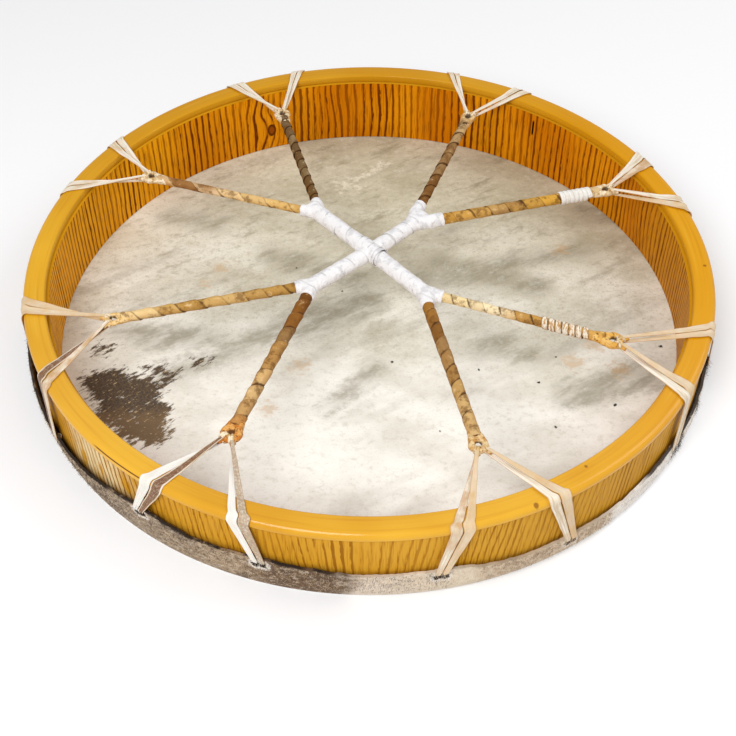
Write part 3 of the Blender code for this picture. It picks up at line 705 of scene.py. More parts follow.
def knot_hide(kind):
    """Tied rawhide: its two tones in patches, with painted shade in the creases and painted shadow inside the
    eye.
    """
    main, second, crease_shade = KNOT_TONES[kind]
    knot = Finish(kind + "_knot", Specular_IOR_Level=0.2)
    patch = knot.noise(knot.stretched(230, 230, 230), detail=4, roughness=0.6)
    crease = knot.noise(knot.stretched(620, 620, 620), detail=2)
    eyes = [(*eye_of(spoke).xy, 0.0024) for spoke in SPOKES]
    colour = knot.layered(
        knot.mix(knot.step(patch, 0.42, 0.58), paint(*main), paint(*second)),
        # Painted shade in the creases, and painted shadow inside each eye.
        (knot.step(crease, 0.54, 0.66) * 0.7, *crease_shade),
        (knot.near(eyes, 0.0005) * 0.85, 60, 34, 12))
    knot.bump(patch + crease * 0.5, 0.0008, 0.6)
    return knot.use(Base_Color=colour, Roughness=0.55)


def white_tape(name, looks, wound):
    """White cloth tape, faintly woven, with painted shade in its creases and laps. Wound tape's laps follow
    its own map.
    """
    tape = Finish(name, Specular_IOR_Level=0.2)
    weave = tape.maths("SINE", tape.x * 5200.0) * tape.maths("SINE", tape.y * 5200.0)
    crumple = tape.noise(tape.stretched(170, 170, 170), detail=4, roughness=0.6)
    relief = crumple * 2.0 + weave * 0.06
    if wound:
        # Painted shade where each turn laps over the last.
        lap = tape.step(tape.uv()[1] + (crumple - 0.5) * 0.2, 0.70, 0.78)
        grey = (lap * 0.5, 172, 169, 168)
    else:
        turn = tape.noise(tape.stretched(60, 60, 60), detail=1)
        lap = tape.maths("SINE", (tape.x + tape.y) * 330.0 + turn * 6.0)
        # Painted shade in bands where the tape laps.
        grey = (tape.step(lap, 0.93, 1.0) * 0.30, 186, 183, 182)
        relief = relief + tape.step(lap, 0.86, 1.0) * 0.4
    # Painted shade in the creases.
    crease_shade = (tape.step(crumple, 0.50, 0.66) * 0.6, 200, 198, 199)
    colour = tape.layered(tuple(looks.tape_colour), crease_shade, grey)
    tape.bump(relief, 0.0012, 0.8)
    return tape.use(Base_Color=colour, Roughness=0.85)


def wound_cord(name, main, second, grey):
    """Cord wound on in close turns: two tones along it, with painted shade between its turns."""
    cord = Finish(name, Specular_IOR_Level=0.25)
    along, across = cord.uv()
    tone = cord.noise(cord.vector(along * 40.0, across * 3.0, 0.0), detail=3, roughness=0.6)
    fibres = cord.noise(cord.vector(along * 160.0, across * 14.0, 0.0), detail=2)
    side = cord.maths("ABSOLUTE", across - 0.5)
    colour = cord.layered(
        cord.mix(cord.step(tone, 0.44, 0.60), paint(*main), paint(*second)),
        # Painted shade at the cord's sides, between its turns.
        (cord.step(side + (fibres - 0.5) * 0.2, 0.34, 0.5) * 0.8, *grey))
    cord.bump(fibres - side, 0.0006, 0.6)
    return cord.use(Base_Color=colour, Roughness=0.75)


def hair_strands(name, dark, pale):
    """Hair in two tones."""
    hair = Finish(name, Specular_IOR_Level=0.3)
    tone = hair.noise(hair.stretched(330, 330, 330), detail=3)
    colour = hair.mix(hair.step(tone, 0.44, 0.58), paint(*dark), paint(*pale))
    return hair.use(Base_Color=colour, Roughness=0.7)


def pick(*pieces):
    """Select these pieces and no others, the first of them active."""
    bpy.ops.object.select_all(action="DESELECT")
    for piece in pieces:
        piece.select_set(True)
    if pieces:
        bpy.context.view_layer.objects.active = pieces[0]


def name_new(name):
    """Name the piece that an operator has just made, and its mesh."""
    piece = bpy.context.object
    piece.name = name
    piece.data.name = name
    return piece


def in_edit_mode(piece, steps):
    """Run edit-mode steps on one piece with all of it selected."""
    pick(piece)
    bpy.ops.object.mode_set(mode="EDIT")
    bpy.ops.mesh.select_mode(type="VERT")
    bpy.ops.mesh.select_all(action="SELECT")
    steps()
    bpy.ops.object.mode_set(mode="OBJECT")


def select_faces(piece, wanted):
    """Select the faces whose middle is wanted, and nothing else."""
    for part in (piece.data.vertices, piece.data.edges):
        part.foreach_set("select", [False] * len(part))
    for face in piece.data.polygons:
        face.select = wanted(face.center)
    bpy.context.tool_settings.mesh_select_mode = (False, False, True)


def apply_modifier(piece, kind, **settings):
    pick(piece)
    modifier = piece.modifiers.new(kind.title(), kind)
    for setting, value in settings.items():
        setattr(modifier, setting, value)
    bpy.ops.object.modifier_apply(modifier=modifier.name)


def shade_soft(piece, degrees=60):
    pick(piece)
    bpy.ops.object.shade_smooth_by_angle(angle=math.radians(degrees))


def thicken(piece, thickness, offset):
    """Make a strip of some thickness out of a sheet, rounded off and smooth."""
    apply_modifier(piece, "SOLIDIFY", thickness=thickness, offset=offset)
    apply_modifier(piece, "SUBSURF", levels=1, render_levels=1)
    shade_soft(piece)
    return piece


def finish_piece(piece, material, slot, *nodes):
    """Give a piece its material, let it ride on the drum and stand for its solids."""
    piece.data.materials.clear()
    piece.data.materials.append(material)
    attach(piece, "root")
    if nodes:
        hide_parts(*nodes)
    return piece


def draped_grid(name, along, across, place, merge=True):
    """A grid of that many cells, each corner moved to place(u, v) with u and v from 0 to 1."""
    pick()
    bpy.ops.mesh.primitive_grid_add(x_subdivisions=along, y_subdivisions=across, size=2.0, calc_uvs=True)
    piece = name_new(name)
    for vertex in piece.data.vertices:
        vertex.co = place(vertex.co.x / 2 + 0.5, vertex.co.y / 2 + 0.5)
    if merge:
        def join():
            bpy.ops.mesh.remove_doubles(threshold=0.000002)
            bpy.ops.mesh.normals_make_consistent(inside=False)
        in_edit_mode(piece, join)
    return piece


def ruffle(piece, depth, fineness):
    """Push a piece's surface in and out by smooth noise."""
    outward = [vertex.normal.copy() for vertex in piece.data.vertices]
    for vertex, normal in zip(piece.data.vertices, outward):
        spot = vertex.co * fineness
        vertex.co += normal * depth * ripple(spot.x, spot.y, spot.z)


def spun_ring(name, low, high, inner, outer, corner_bevels, steps=360):
    """A turned ring: an upright plane as its section, its corners bevelled, spun round the drum's axis."""
    pick()
    middle = ((inner + outer) / 2, 0.0, (low + high) / 2)
    bpy.ops.mesh.primitive_plane_add(size=1.0, location=middle, rotation=(math.pi / 2, 0, 0))
    piece = name_new(name)
    piece.scale = (outer - inner, high - low, 1.0)
    bpy.ops.object.transform_apply(location=True, rotation=True, scale=True)
    for radius_side, height_side, width, segments in corner_bevels:
        for vertex in piece.data.vertices:
            at_radius = abs(vertex.co.x - (outer if radius_side > 0 else inner)) < 1e-6
            at_height = abs(vertex.co.z - (high if height_side > 0 else low)) < 1e-6
            vertex.select = at_radius and at_height
        for edge in piece.data.edges:
            edge.select = False
        for face in piece.data.polygons:
            face.select = False
        bpy.ops.object.mode_set(mode="EDIT")
        bpy.ops.mesh.select_mode(type="VERT")
        bpy.ops.mesh.bevel(offset=width, offset_type="OFFSET", segments=segments, affect="VERTICES")
        bpy.ops.object.mode_set(mode="OBJECT")

    def turn():
        bpy.ops.mesh.delete(type="ONLY_FACE")
        bpy.ops.mesh.select_all(action="SELECT")
        bpy.ops.mesh.spin(steps=steps, angle=math.tau, center=(0, 0, 0), axis=(0, 0, 1))
        bpy.ops.mesh.select_all(action="SELECT")
        bpy.ops.mesh.remove_doubles(threshold=0.00001)
        bpy.ops.mesh.normals_make_consistent(inside=False)
    in_edit_mode(piece, turn)
    shade_soft(piece, 40)
    return piece


# Cells of the hide's grid, round the drum and outwards, and the shares where its flat face and its bend end
HIDE_CELLS_ROUND = 800
HIDE_CELLS_OUT = 44
FLAT_SHARE = 8 / HIDE_CELLS_OUT
BEND_SHARE = 14 / HIDE_CELLS_OUT
LEAST_SLIT_HEIGHT = 0.008


def lean_of_collar(angle):
    """How far the collar's edge stands off the hoop: most at the left, where the hide is stiff with hair."""
    stiff = max(0.0, math.cos((angle - math.radians(205)) * 1.2))
    return 0.0018 * stiff ** 2


def head_section(share, angle):
    """Radius and height of the hide's middle layer, at a share of the way from its centre to its edge."""
    bend = HOOP_ROUNDING + SEAT_GAP + HIDE / 2
    flat = HOOP_RADIUS - HOOP_ROUNDING
    if share < FLAT_SHARE:
        return flat * share / FLAT_SHARE, HIDE / 2
    if share < BEND_SHARE:
        turn = (share - FLAT_SHARE) / (BEND_SHARE - FLAT_SHARE) * math.pi / 2
        return flat + bend * math.sin(turn), HIDE / 2 + bend * (1 - math.cos(turn))
    rise = (share - BEND_SHARE) / (1 - BEND_SHARE)
    low = HIDE / 2 + bend
    flare = min(1.0, rise * 4)
    radius = flat + bend + (COLLAR_MIDDLE - flat - bend) * flare
    rough = polar(1.0, angle)
    edge = collar_height(angle) + 0.0009 * ripple(rough.x * 34, rough.y * 34)
    edge += 0.0008 * ripple(rough.x * 95, rough.y * 95, 3.0)
    edge += 0.0012 * max(0.0, 1 - slit_distance(angle) / 0.006)
    height = low + (edge - low) * rise
    crumple = max(0.0, 1 - slit_distance(angle) / 0.014) * rise
    radius += 0.0008 * crumple * ripple(rough.x * 130, rough.y * 130, height * 60)
    radius += 0.0005 * rise * ripple(rough.x * 30, rough.y * 30, height * 40)
    radius += lean_of_collar(angle) * rise ** 2
    return radius, height


def make_hide(looks):
    """The hide: flat face, bend and standing collar, holed where the thongs go through."""
    slits = slits_of(LACES)

    def place(u, v):
        radius, height = head_section(v, u * math.tau)
        return polar(radius, u * math.tau, height)

    hide = draped_grid("hide", HIDE_CELLS_ROUND, HIDE_CELLS_OUT, place)

    def in_a_slit(middle):
        angle = math.atan2(middle.y, middle.x)
        return middle.z > LEAST_SLIT_HEIGHT and any(
            abs(math.remainder(angle - at, math.tau)) * HEAD_RADIUS < SLIT_RADIUS
            and abs(middle.z - height) < SLIT_RADIUS for at, height in slits)

    select_faces(hide, in_a_slit)
    bpy.ops.object.mode_set(mode="EDIT")
    bpy.ops.mesh.delete(type="FACE")
    bpy.ops.object.mode_set(mode="OBJECT")
    apply_modifier(hide, "SOLIDIFY", thickness=HIDE, offset=0.0)
    shade_soft(hide)
    finish_piece(hide, scraped_hide(looks), "hide", "drum_head")
    cut = 2 * (HOOP_RADIUS + COLLAR_MEAN)
    math.pi * (cut / 2) ** 2


def smooth_stations(stations, spacing):
    """Stations of (middle, across, width) laid closer together and softened a little."""
    dense = []
    for (a, across_a, width_a), (b, across_b, width_b) in zip(stations, stations[1:]):
        count = max(1, round((b - a).length / spacing))
        for step in range(count):
            share = step / count
            width = width_a + (width_b - width_a) * share
            dense.append((a.lerp(b, share), across_a.lerp(across_b, share), width))
    dense.append(stations[-1])
    soft = [dense[0]]
    for before, here, after in zip(dense, dense[1:], dense[2:]):
        soft.append(tuple((before[k] + here[k] * 2 + after[k]) / 4 for k in range(3)))
    soft.append(dense[-1])
    return soft


# Stations over the rim's rounding, and how far apart the stations of a finished thong lie
THONG_BENDS = 8
THONG_SPACING = 0.0014


def strand_stations(lace, side):
    """One strand of a thong, from its spoke's eye over the rim and down to the back of the collar."""
    eye = eye_of(SPOKES[lace.spoke])
    leg_angle = math.radians(lace.angle)
    width_at_rim = (lace.width - THONG_PAIR_GAP) / 2
    aside = (width_at_rim + THONG_PAIR_GAP) / 2
    crossing = polar(RIM_RADIUS, leg_angle + side * aside / RIM_RADIUS, WEB_HEIGHT)
    towards = thong_direction(lace)
    hook = eye + towards * (EYE_RADIUS - EYE_CORD / 2)
    leave = eye + towards * (EYE_RADIUS + 2 * EYE_CORD)
    lift = Vector((0, 0, side * (EYE_CORD + SEAT_GAP + THONG / 2)))
    across = Vector((-towards.y, towards.x, 0))
    stations = [(hook + lift, across, THONG_AT_EYE), (leave + lift, across, THONG_AT_EYE)]
    run = crossing - leave
    run.z = 0
    over = run.normalized()
    widening = Vector((-over.y, over.x, 0))
    crossing_angle = math.atan2(crossing.y, crossing.x)
    tangent = polar(1.0, crossing_angle + math.pi / 2)
    rim_inner = RIM_RADIUS - RIM_BAND - THONG_LIFT
    for radius, across in ((rim_inner, widening), (RIM_RADIUS - RIM_ROUNDING, tangent)):
        back = (RIM_RADIUS - radius) / over.dot(polar(1.0, leg_angle))
        point = crossing - over * back
        width = THONG_AT_EYE + (width_at_rim - THONG_AT_EYE) * (1 - back / run.length)
        width = min(width, 2 * abs(towards.cross(point - leave).z) - THONG_PAIR_GAP)
        stations.append((Vector((point.x, point.y, DEPTH + THONG_LIFT)), across, width))
    for step in range(1, THONG_BENDS + 1):
        bend = math.pi / 2 * (1 - step / THONG_BENDS)
        radius = RIM_RADIUS - RIM_ROUNDING + (RIM_ROUNDING + THONG_LIFT) * math.cos(bend)
        height = DEPTH - RIM_ROUNDING + (RIM_ROUNDING + THONG_LIFT) * math.sin(bend)
        stations.append((polar(radius, crossing_angle, height), tangent, width_at_rim))
    slit_angle = slit_angle_of(lace)
    slit_height = lace.edge - SLIT_BELOW_EDGE
    tangent = polar(1.0, slit_angle + math.pi / 2)
    upright = Vector((0, 0, 1))
    lean = lean_of_collar(slit_angle) * 0.6

    def at_slit(radius, beside, above):
        return polar(radius, slit_angle + side * beside / radius, slit_height + above)

    front = FRONT_RADIUS + lean
    within = COLLAR_MIDDLE + lean
    stations.append((at_slit(front, SLIT_HALF_SPACING, THONG_NARROWS), tangent, THONG_ABOVE_SLIT))
    stations.append((at_slit(front, SLIT_HALF_SPACING, THONG_TURNS_IN), tangent, THONG_AT_SLIT))
    stations.append((at_slit(within, SLIT_HALF_SPACING, 0.0), tangent + upright * side, THONG_AT_SLIT))
    stations.append((at_slit(BEHIND_RADIUS, SLIT_HALF_SPACING / 2, 0.0), upright, THONG_AT_SLIT))
    return stations


def make_thong(lace, seed, material):
    """A doubled thong: out along one strand, behind the collar, and back along the other."""
    out = strand_stations(lace, 1)
    home = [(middle, -across, width) for middle, across, width in reversed(strand_stations(lace, -1))]
    home[0] = (home[0][0], -home[0][1], home[0][2])
    stations = smooth_stations(out + home, THONG_SPACING)
    last = len(stations) - 1

    def place(u, v):
        index = min(round(u * last), last)
        middle, across, width = stations[index]
        ahead = stations[min(index + 1, last)][0] - stations[max(index - 1, 0)][0]
        across = across.normalized()
        up = ahead.cross(across).normalized()
        if up.z < 0:
            up = -up
        aside = (v - 0.5) * width * (1 + 0.14 * ripple(index * 0.16, seed, v))
        cup = 0.12 * width * (4 * (v - 0.5) ** 2 - 0.2) * (0.3 + ripple(index * 0.04, seed + 9))
        crease = 0.0001 * ripple(index * 0.2, seed + 4, v * 3)
        return middle + across * aside + up * (cup + crease)

    thong = draped_grid(lace.name.replace("lace", "thong"), last, 8, place, merge=False)
    finish_piece(thicken(thong, THONG * 0.7, 0.0), material, "rawhide_lace", lace.name)


def axes_of(start, end):
    """Unit vectors along, beside and above a straight level run."""
    along = (end - start).normalized()
    beside = Vector((0, 0, 1)).cross(along).normalized()
    return along, beside, along.cross(beside)


def round_run(start, end):
    """How to place a point round a straight run: how far along it, at what angle, how far from its middle."""
    along, beside, above = axes_of(start, end)

    def place(reach, angle, away):
        return start + along * reach + (beside * math.cos(angle) + above * math.sin(angle)) * away

    return place


# Wound strips and tape: thickness, and width as a share of the way from turn to turn
STRIP_THICKNESS = 0.00045
STRIP_OVERLAP = 1.2
TAPE_THICKNESS = 0.0004
TAPE_OVERLAP = 1.3
COIL_CORD = 0.0006

# Grid cells to a turn
STRIP_CELLS = 26
CORD_CELLS = 28

# How much less the bundle's radius is than the wrapped spoke's, and how far over the bundle its strip is wound
BUNDLE_INSET = 0.0015
WRAPPING_LIFT = 0.0008


def wind_strip(name, start, end, radius, strip, turns, overlap, seed, uneven=0.12):
    """A strip wound in overlapping turns round a straight run, each turn's near edge over the one before."""
    length = (end - start).length
    pitch = length / turns
    at = round_run(start, end)

    def place(u, v):
        turn = u * (turns + 1) - 1
        angle = math.tau * turn - math.pi / 2
        reach = pitch * (turn + overlap * v + uneven * ripple(turn * 2.2, seed, v * 0.4))
        reach = min(max(reach, 0.0), length)
        away = radius * (1 + 0.05 * ripple(reach * 90, seed + 5))
        away += strip * (1.1 * (1 - v) ** 1.4 + 0.35 * math.sin(math.pi * v))
        away += 0.0003 * ripple(math.cos(angle) * 2, math.sin(angle) * 2, reach * 300 + seed)
        return at(reach, angle, away)

    return thicken(draped_grid(name, STRIP_CELLS * (turns + 1), 6, place), strip * 0.6, -1.0)


def wind_cord(name, start, end, radius, cord, turns, seed, spread):
    """A round-backed cord wound side by side over a straight run."""
    pitch = (end - start).length / turns
    at = round_run(start, end)

    def place(u, v):
        turn = u * (turns - 0.5) + 0.25
        side = 2 * v - 1
        reach = pitch * (turn + 0.07 * ripple(turn * 1.7, seed)) + pitch * spread / 2 * side
        back = cord * math.sqrt(max(0.0, 1 - side ** 2)) * (1 + 0.25 * ripple(turn * 3.1, seed + 3))
        return at(reach, math.tau * turn - math.pi / 2, radius + back)

    return thicken(draped_grid(name, CORD_CELLS * turns, 8, place, merge=False), 0.0003, -1.0)


def tube_along(name, path, radius_at, around=16, samples=160):
    """A tube whose middle follows path(t) with t from 0 to 1 and whose radius is radius_at(t, turn)."""
    def place(u, v):
        ahead = (path(min(u + 0.002, 1.0)) - path(max(u - 0.002, 0.0))).normalized()
        beside = ahead.cross(Vector((0.13, 0.21, 1.0))).normalized()
        above = beside.cross(ahead)
        angle = v * math.tau
        return path(u) + (beside * math.cos(angle) + above * math.sin(angle)) * radius_at(u, angle)

    def cap():
        bpy.ops.mesh.select_all(action="DESELECT")
        bpy.ops.mesh.select_mode(type="EDGE")
        bpy.ops.mesh.select_non_manifold()
        bpy.ops.mesh.edge_face_add()
        bpy.ops.mesh.select_all(action="SELECT")
        bpy.ops.mesh.normals_make_consistent(inside=False)

    tube = draped_grid(name, samples, around, place)
    in_edit_mode(tube, cap)
    shade_soft(tube)
    return tube


def cone_between(start, end, first, second):
    pick()
    turn = (end - start).to_track_quat("Z", "Y").to_euler()
    bpy.ops.mesh.primitive_cone_add(vertices=32, radius1=first, radius2=second, depth=(end - start).length,
                                    location=(start + end) / 2, rotation=turn)
    return bpy.context.object


def ball_at(place, radius):
    pick()
    bpy.ops.mesh.primitive_uv_sphere_add(segments=32, ring_count=16, radius=radius, location=place)
    return bpy.context.object


def fuse(name, pieces, voxel, rounds, roughness):
    """Join the pieces, remesh them into one soft form and roughen it."""
    pick(*pieces)
    bpy.ops.object.join()
    bpy.ops.object.transform_apply(location=True, rotation=True, scale=True)
    form = name_new(name)
    apply_modifier(form, "REMESH", mode="VOXEL", voxel_size=voxel)
    apply_modifier(form, "SMOOTH", factor=0.5, iterations=rounds)
    ruffle(form, 0.0004, roughness)
    shade_soft(form)
    return form


def eye_of(spoke):
    return polar(spoke.distance, math.radians(spoke.angle), WEB_HEIGHT)


def thong_direction(lace):
    """The way a thong leaves its spoke's eye."""
    return (polar(RIM_RADIUS, math.radians(lace.angle), WEB_HEIGHT) - eye_of(SPOKES[lace.spoke])).normalized()


def branch_line(arm, side, spoke):
    """Tip of a forked branch and the point where its spoke's line meets the arm's middle line."""
    heading = math.radians(arm.angle)
    fork = side * math.radians(arm.half_fork)
    tip = GRIP_CENTRE + polar(arm.length, heading + fork, WEB_HEIGHT)
    run = (eye_of(spoke) - tip).normalized()
    opening = math.atan2(run.y, run.x) - heading
    back = arm.length * math.sin(fork) / math.sin(opening)
    return tip, tip - run * back


def spoke_tips():
    """Where each spoke leaves the grip, by its place in SPOKES."""
    return {index: branch_line(arm, side, SPOKES[index])[0]
            for arm in ARMS for side, index in zip((-1, 1), arm.spokes)}


def tint(name, description, colour):
    """A colour that a user may change."""
    return FloatVectorProperty(name=name, description=description, subtype="COLOR", size=4, min=0, max=1,
                               default=paint(*colour))


class DrumLooks(bpy.types.PropertyGroup):
    """Colours and counts of the drum's finishes that a user may change."""

    grain_lines: IntProperty(name="Grain lines", description="Dark lines counted round the wall", default=290,
                             min=60, max=900)
    wall_inside: tint("Inner wall", "Wood inside the hoop", (210, 123, 4))
    wall_light: tint("Inner wall, light", "Paler wood inside the hoop", (232, 149, 12))
    wall_outside: tint("Outer wall", "Wood outside the hoop", (199, 143, 36))
    wall_lines: tint("Grain", "Dark lines of the wall's grain", (104, 44, 0))
    rim_dark: tint("Rim", "Deeper amber of the rim", (208, 150, 24))
    rim_light: tint("Rim, light", "Lighter amber of the rim", (222, 168, 42))
    hide_pale: tint("Hide", "Pale parchment", (250, 248, 240))
    hide_shade: tint("Hide, cloudy", "Greyer parchment", (206, 202, 188))
    hair_dark: tint("Hair, dark", "Dark hair on the collar", (78, 62, 52))
    thong_pale: tint("Thong", "Pale dry rawhide", (238, 229, 214))
    thong_shade: tint("Thong, shade", "Darker streaks of the rawhide", (208, 187, 156))
    bundle_colour: tint("Bundle", "Twisted thongs inside the wrapping", (96, 62, 28))
    tape_colour: tint("Tape", "White binding of the grip", (238, 236, 236))


class DrumSizes(bpy.types.PropertyGroup):
    """Sizes of soft details that don't change the drum's own dimensions."""

    hair_length: FloatProperty(name="Hair length", description="Length of the hair on the collar",
                               unit="LENGTH", default=0.0030, min=0.001, max=0.006)
    hair_share: FloatProperty(name="Hairs", description="Share of the collar's hair that is modelled",
                              default=1.0, min=0.1, max=1.0)


class DRUM_OT_hoop(bpy.types.Operator):
    """Model the bent wooden wall"""

    bl_idname = "drum.hoop"
    bl_label = "Hoop"

    def execute(self, context):
        bevels = ((1, -1, HOOP_ROUNDING, 6), (-1, -1, 0.0006, 2))
        wall = spun_ring("hoop_wall", HOOP_LOW.z, HOOP_HIGH.z, HOOP_RADIUS - WALL, HOOP_RADIUS, bevels)
        finish_piece(wall, wall_wood(context.scene.drum_looks), "wall_wood", "hoop")
        return {"FINISHED"}


class DRUM_OT_rim(bpy.types.Operator):
    """Model the smooth band on the hoop's back edge"""

    bl_idname = "drum.rim"
    bl_label = "Rim"

    def execute(self, context):
        bevels = ((1, 1, RIM_ROUNDING, 8), (-1, 1, RIM_INNER_ROUNDING, 4), (1, -1, 0.0008, 3),
                  (-1, -1, 0.0006, 2))
        band = spun_ring("rim_band", RIM_LOW.z, RIM_HIGH.z, RIM_RADIUS - RIM_BAND, RIM_RADIUS, bevels)
        finish_piece(band, rim_wood(context.scene.drum_looks), "rim_wood", "rim_ring")
        return {"FINISHED"}


class DRUM_OT_hide(bpy.types.Operator):
    """Model the hide with its flat face and laced collar"""

    bl_idname = "drum.hide"
    bl_label = "Hide"

    def execute(self, context):
        make_hide(context.scene.drum_looks)
        return {"FINISHED"}


# Hair on the collar: name, first and last angle in degrees, hairs, share of full length, dark and pale tone
HAIR_BANDS = (
    ("hair_front_left", 183, 282, 4400, 1.0, (72, 54, 38), (208, 186, 156)),
    ("hair_front_right", 279, 348, 1800, 0.7, (188, 162, 134), (240, 230, 216)),
    ("hair_front_tan", 286, 309, 1500, 0.9, (150, 122, 94), (214, 194, 166)),
    ("hair_back", -14, 184, 2600, 0.8, (120, 96, 76), (226, 208, 184)),
    ("hair_tuft_left", 187.2, 190.4, 110, 2.2, (16, 12, 10), (50, 40, 34)),
    ("hair_tuft_right", 344.0, 346.8, 110, 2.2, (16, 12, 10), (50, 40, 34)),
    ("hair_tuft_middle", 335.4, 337.4, 60, 1.5, (16, 12, 10), (50, 40, 34)),
    ("hair_tuft_low", 325.0, 328.6, 170, 1.5, (16, 12, 10), (50, 40, 34)),
)

# Radius of a hair at its root, and the steps of an even spread of hairs round the collar and up it
HAIR_RADIUS = 0.00013
STEP_ROUND = 0.7548777
STEP_UP = 0.5698403


class DRUM_OT_collar_hair(bpy.types.Operator):
    """Set short hair on the outside of the collar"""

    bl_idname = "drum.collar_hair"
    bl_label = "Collar Hair"

    def execute(self, context):
        sizes = context.scene.drum_sizes
        for name, first, last, count, share, dark, pale in HAIR_BANDS:
            self.plant(name, math.radians(first), math.radians(last), int(count * sizes.hair_share),
                       sizes.hair_length * share, hair_strands(name, dark, pale))
        return {"FINISHED"}

    def plant(self, name, first, last, count, length, material):
        """Hairs as thin three-sided spikes that lie along the collar and lean off it."""
        pick()
        bpy.ops.mesh.primitive_cone_add(vertices=3, radius1=HAIR_RADIUS, depth=1.0, location=(0, 0, 0.5))
        spike = bpy.context.object
        spike.name = name
        bpy.ops.object.transform_apply(location=True, rotation=True, scale=True)
        corners = [vertex.co.copy() for vertex in spike.data.vertices]
        sides = [tuple(face.vertices) for face in spike.data.polygons]
        vertices = []
        faces = []
        for index in range(count):
            wild = ripple(index * 0.73, 5.1), ripple(index * 0.91, 8.7), ripple(index * 1.17, 2.3)
            angle = first + (last - first) * ((index * STEP_ROUND) % 1.0)
            rise = ((index * STEP_UP) % 1.0) ** 0.7
            share = BEND_SHARE + (1 - BEND_SHARE) * (0.10 + 0.90 * rise)
            radius, height = head_section(share, angle)
            root = polar(radius + HIDE * 0.45, angle, height)
            aside = polar(1.0, angle + math.pi / 2)
            lie = polar(0.30 + 0.25 * wild[0], angle) + aside * wild[1] * 1.3 + Vector((0, 0, -0.5 + wild[2]))
            turn = lie.to_track_quat("Z", "Y").to_matrix()
            reach = length * (0.75 + 0.6 * wild[0])
            base = len(vertices)
            for corner in corners:
                vertices.append(root + turn @ Vector((corner.x, corner.y, corner.z * reach)))
            faces += [tuple(base + k for k in side) for side in sides]
        mesh = bpy.data.meshes.new(name)
        mesh.from_pydata(vertices, [], faces)
        spike.data = mesh
        finish_piece(spike, material, "hide")


class DRUM_OT_thongs(bpy.types.Operator):
    """Model the sixteen doubled thongs"""

    bl_idname = "drum.thongs"
    bl_label = "Thongs"

    def execute(self, context):
        hides = {}
        for number, lace in enumerate(LACES):
            kinds = lace.kind, lace.other_kind
            if kinds not in hides:
                hides[kinds] = thong_hide("thong_%s_%s" % kinds, kinds, context.scene.drum_looks)
            make_thong(lace, number * 2.7, hides[kinds])
        return {"FINISHED"}


class DRUM_OT_spokes(bpy.types.Operator):
    """Model the twisted bundles and their wrappings"""

    bl_idname = "drum.spokes"
    bl_label = "Spokes"

    def execute(self, context):
        bundle_finish = bundle_hide(context.scene.drum_looks)
        tips = spoke_tips()
        for index, spoke in enumerate(SPOKES):
            start = tips[index]
            eye = eye_of(spoke)
            end = eye - (eye - start).normalized() * (EYE_RADIUS + EYE_CORD)
            core = spoke.thickness / 2 - BUNDLE_INSET

            def path(t):
                return start.lerp(end, t)

            def twisted(t, turn):
                return core * (1 + 0.10 * math.cos(3 * turn + t * 60))

            bundle = tube_along(spoke.name + "_bundle", path, twisted, around=18, samples=120)
            finish_piece(bundle, bundle_finish, "rawhide_bundle", spoke.name + "_core")
            wrapping = wind_strip(spoke.name + "_wrapping", start, end, core + WRAPPING_LIFT, STRIP_THICKNESS,
                                  spoke.turns, STRIP_OVERLAP, index * 1.9)
            finish = wrapping_hide(spoke.name + "_strip", WRAP_TINTS[spoke.name], spoke.turns,
                                   WRAP_LAP_SHADOWS[spoke.name])
            finish_piece(wrapping, finish, "rawhide_wrapping", spoke.name + "_wrap")
        return {"FINISHED"}


class DRUM_OT_coils(bpy.types.Operator):
    """Wind the cord over two of the spokes"""

    bl_idname = "drum.coils"
    bl_label = "Coils"

    def execute(self, context):
        # The last tone of each cord is its painted shade between the turns.
        white = wound_cord("white_coil", (240, 238, 234), (228, 220, 206), (188, 180, 170))
        brown = wound_cord("white_and_brown_coil", (240, 230, 210), (186, 136, 76), (112, 74, 36))
        tips = spoke_tips()
        for (name, index, from_eye, length, turns, spread), finish in zip(COILS, (white, brown)):
            eye = eye_of(SPOKES[index])
            along = (eye - tips[index]).normalized()
            end = eye - along * from_eye
            inner = SPOKES[index].thickness / 2 + SEAT_GAP / 2
            coil = wind_cord(name.replace("coil", "cord"), end - along * length, end, inner, COIL_CORD, turns,
                             index, spread)
            finish_piece(coil, finish, "white_cord", name)
        return {"FINISHED"}


# Knots: radius of the eye's ring, radius of its cord, and its finish, by the place of the spoke
KNOTS = ((0.0044, 0.0021, "pale"), (0.0042, 0.0020, "cream"), (0.0046, 0.0021, "pale"),
         (0.0044, 0.0021, "pale"), (0.0042, 0.0018, "soft"), (0.0050, 0.0026, "orange"),
         (0.0046, 0.0022, "cream"), (0.0048, 0.0025, "golden"))
# This spoke's eye holds a ball that takes the knots' painted shadow inside the eye.
FILLED_EYE = "spoke_6"


